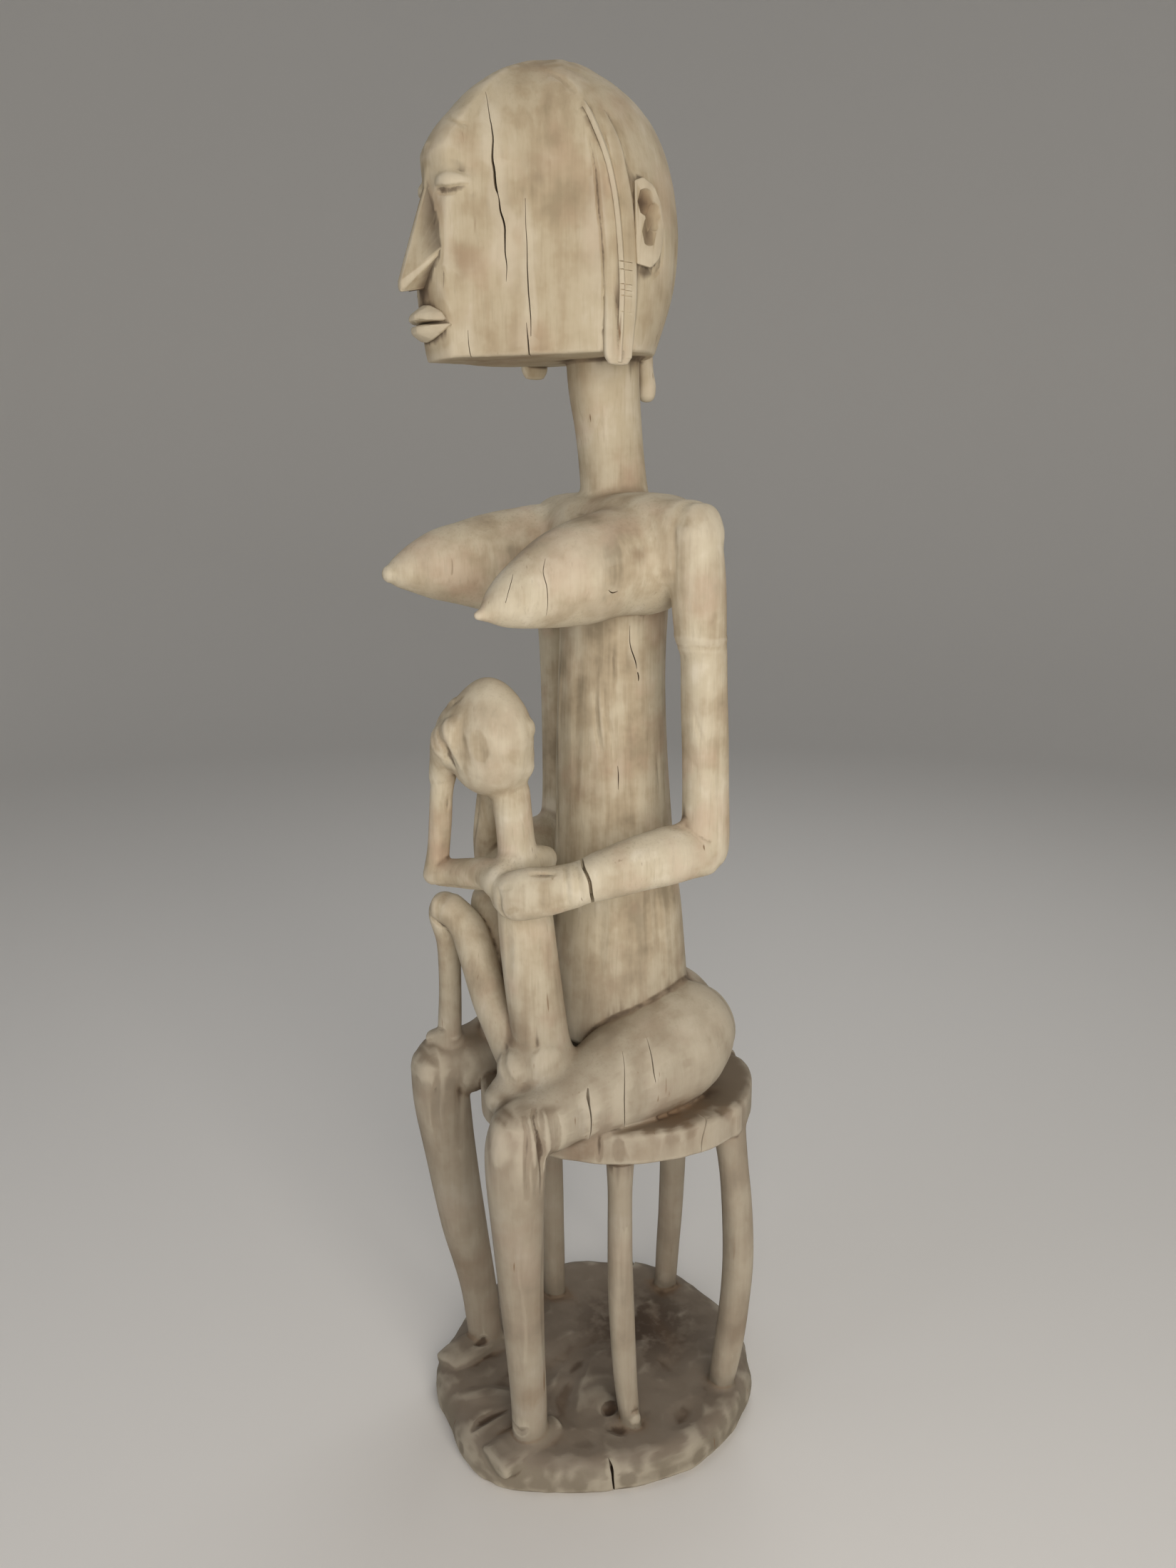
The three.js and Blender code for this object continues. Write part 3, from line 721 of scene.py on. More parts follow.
@dataclass
class MotherTrunk(Part):
    """The long column of the body, the broad yoke of the shoulders, the neck and the breasts."""

    def __post_init__(self) -> None:
        """Names the soft passages, the drying streaks and the cracks."""
        self.eases = [
            Ease((30, -20, 492), 40), Ease((-20, -18, 494), 40), Ease((0, 8, 490), 40),
            Ease((62, -4, 486), 36), Ease((76, 8, 492), 28), Ease((-74, 6, 490), 28),
            Ease((0, 12, 514), 26, 0.6), Ease((66, 8, 462), 16, 0.8), Ease((30, -12, 462), 22, 0.4),
        ]
        self.marks = [
            Mark([
                (-12, -15.5, 455), (-14, -15.5, 430), (-17, -14.5, 405), (-18, -14.5, 380), (-14, -17, 352),
                (-10, -18.5, 325),
            ], 3.4, 1.2),
            Mark([(-6, -17, 440), (-10, -17, 405), (-9, -18, 370)], 3.0, -0.6),
            Mark([(26, -3, 440), (27, -3, 424)], 1.6, 0.4),
            Mark([(20, -11, 420), (21.5, -11, 405), (22.5, -10.5, 394), (24, -9, 382)], 2.4, 0.7),
            Mark([(24, -7.5, 424), (25.5, -6.5, 404), (27, -5, 394), (29, -3.5, 379)], 2.0, 0.6),
            Mark([(27.5, -2, 438), (29, 0, 417), (30.5, 3, 394)], 2.2, -0.5),
            Mark([(22, -9, 432), (23, -8.5, 405), (25.5, -7, 383)], 1.8, -0.6),
            Mark([(31, 22, 384), (31.5, 24, 356)], 2.2, 0.5),
            Mark([(10, -17, 444), (10, -18, 400), (11, -19, 360)], 5, 0.6),
            Mark([(33, 10, 345), (35, 12, 300), (37, 12, 258)], 2.6, 0.5),
            Mark([(36, 22, 310), (38, 24, 258)], 2.6, -0.5),
            Mark([(38, 18, 330), (39, 19, 258)], 1.6, 0.4),
            Mark([(30, -12, 305), (31, -14, 258)], 4.0, 0.5),
            Mark([(74, 2, 508), (77, 1, 494), (76, 2, 476)], 2.6, 0.5),
            Mark([(0, -14, 512), (8, -14, 508), (22, -12, 506)], 4.0, 0.7),
        ]
        self.cracks = [
            Crack([
                (30, 4.5, 452, 0.1, 1.5), (29.8, 5, 442, 0.25, 3), (30.5, 7.5, 434, 0.35, 3),
                (31, 8.5, 429, 0.12, 1.5),
            ], (-0.9, 0.3, 0)),
            Crack([
                (31, 8.8, 427, 0.3, 1.5), (31.2, 9.4, 424.5, 0.4, 2), (31.2, 9.4, 422.5, 0.2, 1),
            ], (-0.9, 0.3, 0)),
            Crack([
                (30, -2.2, 377, 0.1, 1.5), (30.4, -2.2, 371, 0.28, 3), (30.4, -2.2, 364, 0.1, 1),
            ], (-0.9, 0.4, 0)),
            Crack([
                (57.7, -60, 489, 0.1, 1), (60.5, -62.5, 483, 0.2, 2), (62.5, -62, 477, 0.22, 2),
                (62.5, -61.5, 470, 0.2, 2), (60, -60.5, 462, 0.1, 1),
            ], (-1, 0.1, 0)),
            Crack([(48, -72, 485, 0.1, 1), (53, -76, 478, 0.18, 1.5), (55, -80, 469, 0.1, 1)], (-1, 0.3, 0)),
            Crack([
                (67.3, -31, 474, 0.15, 1), (67.4, -28.5, 472.6, 0.35, 1.5), (67, -25.5, 473.2, 0.15, 1),
            ], (-1, 0.1, 0)),
            Crack([
                (4, 42, 470, 0.2, 2), (6, 42.5, 420, 0.8, 8), (3, 44, 380, 0.7, 8), (5, 47, 330, 0.2, 2),
            ], (0, -1, 0)),
        ]
        self.stains = [
            Stain((68, -14, 490), 7, 0.45), Stain((34, -26, 502), 22, 0.3), Stain((20, -14, 360), 16, 0.25),
            Stain((-14, -16, 380), 12, 0.5), Stain((36, -10, 344), 10, 0.3),
        ]

    def build(self, body: bmesh.types.BMesh) -> None:
        """Adds the trunk, the shoulders, the neck and the breasts to the block.

        Args:
            body: the mesh that takes the forms.
        """
        Limb([
            (0, 15.7, 218, 44, 40), (0, 15.7, 240, 43, 39.5), (0, 15.2, 288, 39.5, 35.5),
            (0, 13.2, 339, 34.7, 31.2), (0, 11.2, 395, 32.3, 29), (0, 12, 440, 31, 27.8),
            (0, 14, 490, 33, 28),
        ], sides=72, rows=60, dome=0.2, up=Y_UP, power=2.2).add_to(body)
        Limb([
            (-82, 15, 501, 10.5, 11), (-74, 14.5, 498.5, 14.5, 15), (-50, 12, 493, 25, 27),
            (0, 9, 490, 32, 30), (50, 12, 493, 25, 27), (74, 14.5, 500.5, 14.5, 17.5),
            (82, 15, 504, 10.5, 12.5),
        ], sides=48, rows=50, dome=0.5, power=2.6).add_to(body)
        Limb([
            (0, 13, 508, 20.5), (0, 12.6, 520, 17.6), (0, 11, 535, 17), (0, 8.5, 556, 17.3),
            (0, 6, 575, 18.2), (0, 5, 596, 18.8),
        ], sides=40, rows=30, dome=0.2, up=Y_UP, power=2.2).add_to(body)
        Limb([
            (40, 8, 485, 27), (42, -13, 485, 27), (44, -39, 479.5, 25.2), (45, -63, 471.7, 17.8),
            (45.3, -78, 466.5, 10.8), (45.5, -86, 463.5, 4.8), (45.5, -88.5, 462.8, 3.2),
        ], sides=44, rows=44, dome=0.9).add_to(body)
        Limb([
            (-41, 4, 484, 31), (-40, -16, 482.6, 31), (-40, -38, 482.8, 27.8), (-40, -63, 482.5, 22),
            (-40, -81, 481, 16.5), (-40, -96, 478.8, 8.6), (-40, -101, 478.2, 4.6),
        ], sides=44, rows=44, dome=0.9).add_to(body)
        Limb([(45.5, -84, 464, 3.6), (46, -90.3, 462.6, 2.7)], rows=6, sides=16, dome=0.9).add_to(body)
        Limb([(-40, -96, 479, 5), (-40, -103, 478, 2.4)], rows=6, sides=16).add_to(body)


@dataclass
class MotherArms(Part):
    """The straight arms, the left hand on the child's arm, its bangles and the broken wrist."""

    wrist: Station = (61.5, -40, 327)
    wrist_line: Station = (5.5, 16, 3)
    wrist_radius: float = 11.5
    break_width: float = 1.7
    break_depth: float = 4.5
    cutter_radius: float = 18.0
    cutter_steps: int = 64
    ragged: float = 0.5
    fine_ragged: float = 0.3

    def __post_init__(self) -> None:
        """Names the soft passages, the arm's ring, the bangles, the fingers and the creases."""
        self.eases = [
            Ease((77, 14, 348), 14, 0.7), Ease((-77, 14, 326), 14, 0.7), Ease((44, -66, 330), 12, 0.5),
            Ease((40, -66, 306), 14, 0.6), Ease((30, -72, 318), 14, 0.8),
        ]
        self.marks = [
            Mark([
                (66, 16, 450.5), (72, 7, 450.5), (84, 8, 450.5), (88.5, 14, 449), (83, 29, 449),
                (70, 29, 449),
            ], 2.6, -0.34, taper=0.1),
            Mark([
                (66, 16, 445.5), (72, 7, 445.5), (84, 8, 445.5), (88.5, 14, 445), (84, 29, 445),
            ], 1.8, 0.45),
            Mark([(84, 7, 470), (86, 9, 440)], 6, 0.3),
            Mark([(82.5, 10.5, 414), (84, 11.5, 406), (85.5, 13, 400), (86, 14, 392)], 2.0, 0.5),
            Mark([(87, 16, 370), (87.5, 17, 357), (88, 18, 345)], 1.6, 0.4),
            Mark([(82.5, 11.5, 388), (82.5, 12, 379)], 2.0, 0.35),
            Mark([(76.5, 10, 354.5), (81, 11, 351), (85, 14, 348.5), (88.5, 18, 346.5)], 2.4, 0.7),
            Mark([(72, 8, 352), (76, 8, 357)], 4.0, -0.8),
            Mark([(74, 0, 350), (71, -14, 346), (68, -30, 341)], 7.0, -0.5),
            Mark([(-82, 10, 420), (-83, 11, 380)], 2.4, 0.5),
            Mark([(54.5, -48.5, 336), (65.5, -54, 330), (66, -53.5, 318)], 1.5, 0.7),
            Mark([(56.5, -46.5, 337), (67.5, -51.5, 331), (67.2, -50.5, 316)], 1.4, -0.6),
            Mark([(58.5, -44.5, 337.5), (69, -48.5, 331.5), (68, -47, 316)], 1.4, 0.6),
            Mark([(60, -42.5, 338), (70, -45.5, 332), (69, -44.5, 315)], 1.4, -0.5),
            Mark([(35.5, -78, 322), (37.5, -77.5, 317), (37, -77, 311), (39, -74, 303)], 2.4, 0.9),
            Mark([(49, -66, 331), (55, -60.5, 332), (59, -56, 332)], 2.0, 1.2),
            Mark([(44, -72, 324), (37, -76, 321)], 2.0, 0.5),
            Mark([(46, -70, 314), (39, -74, 310)], 2.0, 0.5),
        ]
        self.stains = [
            Stain((36, -76, 312), 8, 0.3), Stain((60, -46, 318), 8, 0.25), Stain((76, 6, 354), 8, 0.3),
        ]

    def build(self, body: bmesh.types.BMesh) -> None:
        """Adds both arms and the flat left hand, its thumb laid along the top, to the block.

        Args:
            body: the mesh that takes the forms.
        """
        shoulder = [(77, 15, 478, 13.3), (77, 17, 452, 12.8), (77, 19.3, 440, 11.6)]
        left_upper = [
            (76, 13, 500, 12.8), *shoulder, (77, 20.5, 413, 11.8), (77, 22.3, 370, 11.7),
            (77, 22.5, 345, 12.2), (77, 21.5, 338, 12.2),
        ]
        right_upper = [
            (-76, 13, 500, 12.8), *on_side(-1, *shoulder), (-77, 21, 395, 11.8), (-77, 21.5, 345, 11.8),
            (-77, 20.5, 318, 12.2),
        ]
        left_fore = [
            (77, 21, 337.5, 12.5), (74, 6.7, 338, 14.8), (70, -12.5, 334.5, 14.1), (65, -30.7, 330.2, 12.6),
            (61.5, -40, 327, 11.3), (57, -47, 324.3, 11.4),
        ]
        right_fore = [
            (-77, 20, 314, 12.5), (-73, 4, 311.5, 13.6), (-61, -14, 306, 12.6), (-43, -27, 301.5, 11),
            (-24, -35, 299, 9.5),
        ]
        right_hand = [
            (-26, -34, 299, 8, 10.5), (-10, -39, 297, 6.5, 12), (6, -42, 295, 6, 11.5), (14, -43, 294, 5, 9),
        ]
        left_hand = [
            (59, -45, 325, 11.2, 11.6), (52, -55.5, 321.5, 9.6, 12.6), (45, -63.5, 319.5, 8.6, 13.6),
            (38, -69, 317, 8, 13), (31, -72, 316, 6, 11), (26, -73.5, 315, 3.5, 8),
        ]
        for arm in (left_upper, right_upper):
            Limb(arm, up=Y_UP, rows=44, power=2.2).add_to(body)
        for arm in (left_fore, right_fore):
            Limb(arm, rows=30, power=2.2).add_to(body)
        Limb(right_hand, rows=20, power=2.4).add_to(body)
        Limb(left_hand, rows=24, power=2.3).add_to(body)

    def wrist_break(self) -> bmesh.types.BMesh:
        """Makes the cutter for the gap where the left wrist broke and was set back.

        Returns:
            A thin ring about the wrist, in millimetres.
        """
        inner, half = self.wrist_radius - self.break_depth, self.break_width / 2
        corners = [(inner, -half), (self.cutter_radius, -half), (self.cutter_radius, half), (inner, half)]
        cut = spun(corners, self.cutter_steps, closed=True)
        for vert in cut.verts:
            turn = math.atan2(vert.co.y, vert.co.x)
            vert.co.z += self.ragged * math.sin(2 * turn + 0.7) + self.fine_ragged * math.sin(5 * turn)
        along = Vector(self.wrist_line).to_track_quat("Z", "Y").to_matrix().to_4x4()
        wrist = place(np.array([self.wrist]))[0]
        bmesh.ops.transform(cut, matrix=Matrix.Translation(wrist) @ along, verts=cut.verts[:])
        bmesh.ops.recalc_face_normals(cut, faces=cut.faces[:])
        return cut


@dataclass
class MotherHead(Part):
    """The long wedge of the head with its flat sides, schematic face, braids, ears and tress."""

    # Each level is [h, face y, half face, braid y, half width, back y].
    levels: Sequence[Station] = (
        (582.2, -90.5, 16, -12, 44.6, 25), (592, -92, 17, -11.4, 45.8, 29),
        (619, -94.5, 17.5, -10.8, 47.2, 39.5), (644, -93, 17, -13.2, 47.2, 43),
        (663, -90.5, 16, -16, 46, 41.5), (674, -92.5, 15.5, -18.6, 44.6, 39.5),
        (686, -86.5, 15, -22.4, 41.4, 36), (698, -76, 14, -25.6, 36, 30), (708, -66, 12, -28, 29, 22),
        (716, -54, 9.5, -28, 20, 11), (722, -40, 6, -25, 12, -3),
    )
    crown: Station = (0, -24, 725.5)
    jaw_rise: float = 0.057
    face_set_back: float = 6.5
    jaw_y: float = -30.0
    jaw_hollow: float = 3.2
    face_end: float = 0.2
    side_end: float = 0.52
    skin_rows: int = 62
    skin_sides: int = 132
    nick_heights: Station = (627.5, 624, 617.5, 614.8, 612.3, 605)

    def __post_init__(self) -> None:
        """Names the soft passages, the marks of face and hair, and the cracks of the head."""
        self.eases = [
            Ease((0, -94, 666), 12, 0.8), Ease((21, -76, 661), 7, 0.9), Ease((-21, -76, 661), 7, 0.9),
        ]
        for side in (1, -1):
            self.marks += self.side_marks(side)
        self.cracks = [
            Crack([
                (14.5, -67.5, 702, 0.1, 2), (19.6, -67, 690, 0.2, 6), (21.6, -67, 682, 0.34, 9),
                (23, -67.2, 670, 0.55, 10), (23.9, -66.3, 659, 0.6, 10), (24.2, -65.6, 655, 0.22, 8),
                (24.8, -64.8, 650, 0.4, 9), (25.6, -63.3, 641, 0.46, 9), (26, -62.8, 631, 0.36, 8),
                (26.3, -62.3, 623.5, 0.22, 5), (26, -62.5, 617, 0.1, 2),
            ], (-0.8, 0.6, 0), 0.6),
            Crack([
                (29, -54, 654, 0.1, 2), (29.5, -53.4, 632, 0.22, 4), (29.7, -52.9, 616, 0.3, 5),
                (29.6, -52, 603, 0.25, 5), (29.2, -51.8, 593, 0.15, 3),
            ], (-0.8, 0.6, 0)),
            Crack([
                (28.8, -53.8, 599, 0.1, 2), (28.7, -52.9, 590, 0.35, 6), (28.2, -52.3, 580, 0.4, 6),
            ], (-0.8, 0.6, 0)),
            Crack([
                (18.5, -79.7, 595, 0.1, 2), (18, -79, 588, 0.2, 3), (17.6, -78, 580, 0.25, 3),
            ], (-0.8, 0.6, 0)),
            Crack([
                (17.5, -64, 709, 0.15, 2), (18.5, -61, 708, 0.4, 3), (17.5, -59, 709, 0.15, 2),
            ], (-0.5, 0, -0.8)),
            Crack([
                (-27, -60, 690, 0.15, 2), (-31, -56, 660, 0.5, 6), (-32, -54, 630, 0.4, 6),
                (-31, -54, 612, 0.15, 2),
            ], (0.8, 0.6, 0)),
            Crack([
                (4, 42, 655, 0.15, 2), (6, 43, 630, 0.5, 7), (5, 40, 606, 0.3, 4),
            ], (0, -1, 0)),
        ]
        for side in (1, -1):
            for h in self.nick_heights:
                nick = [
                    (47.6, -15.5, h, 0.1, 0.6), (48.6, -10.6, h - 0.4, 0.3, 1.0),
                    (48.2, -6.5, h - 0.6, 0.1, 0.7),
                ]
                self.cracks.append(Crack(on_side(side, *nick), (-side, 0, 0), 0.0))
        self.stains = [
            Stain((20, -84, 625), 15, 0.3), Stain((40, -28, 650), 16, 0.2), Stain((24, -78, 690), 12, 0.25),
            Stain((43, 2, 654), 9, 0.7), Stain((8, -100, 615), 8, 0.6), Stain((0, -60, 584), 40, 0.5),
            Stain((30, -50, 668), 12, 0.25), Stain((10, -40, 722), 22, 0.25),
        ]

    def side_marks(self, side: int) -> list[Mark]:
        """Names the marks on one side of the face and hair.

        Args:
            side: 1 for her left and -1 for her right.

        Returns:
            The marks of that side.
        """
        below_lid = on_side(
            side, (8.6, -92.4, 657.8), (12, -92, 656.4), (16, -89.6, 655.8), (19.4, -84.4, 656.2),
            (21.4, -79, 658.2),
        )
        braid_front = on_side(
            side, (41, -27, 684), (43, -24, 668), (43, -22.4, 652), (43.4, -20.6, 636),
            (43.5, -19.6, 617), (42.6, -20, 590),
        )
        socket = on_side(side, (7.5, -92.5, 671), (12, -91, 672), (17, -87, 671), (21, -81, 669))
        brow_line = on_side(side, (3, -82, 691.5), (13, -81, 687), (18, -76, 685))
        hair_edge = on_side(side, (19, -36, 714), (27, -32, 708.5), (33, -29, 702))
        cheek = on_side(side, (36, -40, 660), (38, -36, 640), (38, -36, 615))
        temple = on_side(side, (30, -50, 676), (33, -46, 650), (33, -46, 620), (32, -46, 594))
        nape = on_side(side, (34, 32, 640), (32, 34, 615))
        behind_ear = on_side(side, (44, 12, 660), (43, 15, 645), (43, 14, 630), (45, 8, 622))
        beside_nose = on_side(side, (12, -90, 622), (16, -87, 615), (17, -86, 606))
        return [
            Mark(below_lid, 2.7, 1.7),
            Mark(socket, 5.5, 1.0, Edge.SOFT, 0.6),
            Mark(brow_line, 2.2, 0.6),
            Mark(braid_front, 2.0, 1.5, Edge.CRISP),
            Mark(hair_edge, 2.2, 0.7),
            Mark(cheek, 6.0, 0.5),
            Mark(temple, 10.0, 0.7),
            Mark(nape, 5.0, 0.5),
            Mark(behind_ear, 2.2, 0.9),
            Mark(beside_nose, 5.0, 0.6),
        ]

    def outline(self, row: np.ndarray, turn: np.ndarray) -> np.ndarray:
        """Places points on the head's skin.

        Args:
            row: 0 at the jaw's middle, then level outlines, and the last at the crown.
            turn: once around from the face, over her left.

        Returns:
            n by 3 places in millimetres.
        """
        rows = self.skin_rows
        along = np.clip((row - 1) / (rows - 2), 0, 1)
        level = spline(np.array(self.levels, float), along)
        h, face_y, half_face, braid_y, half_width, back_y = level.T
        half = np.where(turn > 0.5, 1 - turn, turn) * 2
        side = np.where(turn > 0.5, -1.0, 1.0)
        face_end, side_end = self.face_end, self.side_end
        front = np.clip(half / face_end, 0, 1) * math.pi / 2
        flat = np.clip((half - face_end) / (side_end - face_end), 0, 1)
        back = np.clip((half - side_end) / (1 - side_end), 0, 1) * math.pi / 2
        corner = face_y + self.face_set_back
        x = half_face * np.sin(front) + (half_width - half_face) * flat - half_width * (1 - np.cos(back))
        y = np.where(half <= face_end, face_y + self.face_set_back * (1 - np.cos(front)), corner)
        y = y + (braid_y - corner) * flat + (back_y - braid_y) * np.sin(back)
        spots = place(np.stack([side * x, y, h], axis=1))
        rise = self.jaw_rise * (spots[:, 1] - self.levels[0][1] * SHARE)
        spots[:, 2] += rise * np.clip(1 - along * 14, 0, 1)
        spots[row == 0] = place(np.array([[0, self.jaw_y, self.levels[0][0] + self.jaw_hollow]]))
        spots[row == rows] = place(np.array([self.crown]))
        return spots

    def build(self, body: bmesh.types.BMesh) -> None:
        """Adds the head's long wedge, the nose's bridge, the closed lids and the tress to the block.

        Args:
            body: the mesh that takes the forms.
        """
        lay_skin(body, self.skin_sides, self.skin_rows, self.outline)
        Limb([(0, -87.5, 678, 4.4), (0, -88.3, 664, 4.8), (0, -88.5, 650, 6)], rows=16, up=Y_UP).add_to(body)
        for side in (1, -1):
            lid = on_side(
                side, (6.5, -89, 661.6, 1.2, 1.8), (10.6, -88.8, 661, 2.4, 3.6),
                (14.6, -86.6, 660.6, 2.8, 4.3), (17.8, -82.0, 660.8, 2.1, 3.6),
                (20.0, -76.2, 661.2, 0.9, 1.6),
            )
            Limb(lid, rows=30, sides=24, dome=0.9).add_to(body)
        Limb([
            (0, 30, 594, 5), (0, 31.5, 583, 4.2), (0, 32.5, 576, 4.8), (0, 32.5, 571, 4.6),
        ], rows=16, sides=20, up=Y_UP).add_to(body)

    def crisp_forms(self) -> list[list[Form]]:
        """Returns the arrow nose and ledge lips, then the ears and tabs, then the braids' ridges.

        Returns:
            Three layers of forms that don't touch within a layer.
        """
        nose = Wedge(both_sides([
            (1.8, -91.4, 664), (2.2, -107, 616.8), (1.8, -106.3, 612.8), (0, -95, 614.5),
            (16.4, -89.8, 631.6), (15.2, -89, 634.5), (10.5, -88.4, 646), (4.5, -88.6, 659),
            (0, -84, 660), (0, -84, 617), (12, -84, 634),
        ]), 0.8)
        upper_lip = Wedge(both_sides([
            (3.5, -101.2, 599.9), (3.5, -100.9, 602.6), (9.5, -97, 599.8), (16.2, -89.8, 599.2),
            (0, -95, 607.6), (7, -94.6, 606.8), (14.2, -91.6, 603.6), (12, -85, 600), (0, -86, 607),
        ]), 0.7)
        lower_lip = Wedge(both_sides([
            (3.5, -100.2, 597.2), (3.5, -99.8, 594), (10, -96.2, 597.4), (18.4, -87.8, 598),
            (0, -94.5, 599.2), (0, -94, 590.4), (7, -93.4, 591.4), (13, -91, 594), (12, -84, 596),
            (0, -85, 592),
        ]), 0.7)
        ears, ridges = [], []
        for side in (1, -1):
            ears += [self.ear(side), self.tab(side)]
            ridges += [self.ridge(side), self.band(side)]
        return [[nose, *ears], [upper_lip, *ridges[::2]], [lower_lip, *ridges[1::2]]]

    def scoops(self) -> list[list[Form]]:
        """Returns the hollow of each ear, cut in three bites with a small gouge.

        Returns:
            One layer for each bite.
        """
        bites = [
            ((50.2, 0.4, 654.6), (5.6, 5.0, 7.0), 0.35, 9), ((50.3, 4.6, 648.4), (4.8, 5.2, 8.0), -0.4, 8),
            ((50.4, 2.2, 641.4), (3.8, 5.0, 7.6), 0.2, 9),
        ]
        return [
            [Egg((side * spot[0], *spot[1:]), half, turn * side, sides) for side in (1, -1)]
            for spot, half, turn, sides in bites
        ]

    def ear(self, side: int) -> Form:
        """Shapes one ear, a flat shell that ends in a broad lobe.

        Args:
            side: 1 for her left and -1 for her right.

        Returns:
            The ear before its hollow is cut.
        """
        edge = [
            (-5.4, 664, 47.8), (-1, 665.6, 48.4), (5, 662.6, 48.8), (9.4, 655, 48.4), (11.4, 645, 48),
            (11.2, 637, 48), (8.6, 629.6, 48.2), (4, 625.4, 48.8), (-4.2, 626.6, 49.2), (-5, 640, 48.0),
        ]
        outer = [(side * x, y, h) for y, h, x in edge]
        inner = [(side * 41.5, y * 0.9, 644 + (h - 644) * 0.94) for y, h, _ in edge]
        return Wedge(outer + inner, 0.6)

    def tab(self, side: int) -> Form:
        """Returns the end of one braid, which hangs below the jaw.

        Args:
            side: 1 for her left and -1 for her right.

        Returns:
            The tab.
        """
        line = [
            (42.6, -12, 622, 7.0, 1.6), (43.8, -12, 606, 7.4, 2.0), (44.2, -12, 592, 7.7, 2.4),
            (44.2, -12, 585, 7.4, 2.5), (44.2, -12, 581.5, 5.6, 2.0),
        ]
        return Limb(on_side(side, *line), sides=28, rows=20, dome=0.6, power=3.2, up=X_UP)

    def ridge(self, side: int) -> Form:
        """Returns the sharp ridge down the middle of one braid.

        Args:
            side: 1 for her left and -1 for her right.

        Returns:
            The ridge.
        """
        line = [
            (28.6, -27.4, 704.5), (37.5, -25.4, 694.6), (42.2, -22.6, 684.6), (44.6, -19.4, 675),
            (45.9, -17, 666), (46.9, -14.8, 654), (47.4, -13.4, 642), (47.5, -12.2, 629),
            (47.4, -11.4, 616), (46.8, -11.5, 600.6), (46.4, -12, 588), (46.2, -12.2, 582),
        ]
        stations = [(side * (x - 0.25), y, h, 1.7, 1.3) for x, y, h in line]
        return Limb(stations, sides=8, rows=90, power=1.35, dome=0.5, up=X_UP)

    def band(self, side: int) -> Form:
        """Returns the raised strip behind one braid's ridge, which ends before the ear.

        Args:
            side: 1 for her left and -1 for her right.

        Returns:
            The strip.
        """
        line = [
            (31.4, -19, 700, 2.4), (37.8, -17.4, 691, 3), (42.6, -14.6, 680, 3.6), (44.6, -12.4, 668, 4),
            (45.8, -9.8, 654, 4), (46.3, -8.4, 640, 3.9), (46.5, -7.6, 627, 3.9), (46.4, -7.2, 612, 3.8),
            (45.6, -7.8, 596, 3.6), (45, -8.4, 584, 3.2),
        ]
        stations = [(side * (x + 0.45), y, h, wide, 1.15) for x, y, h, wide in line]
        return Limb(stations, sides=16, rows=80, power=3.4, dome=0.5, up=X_UP)


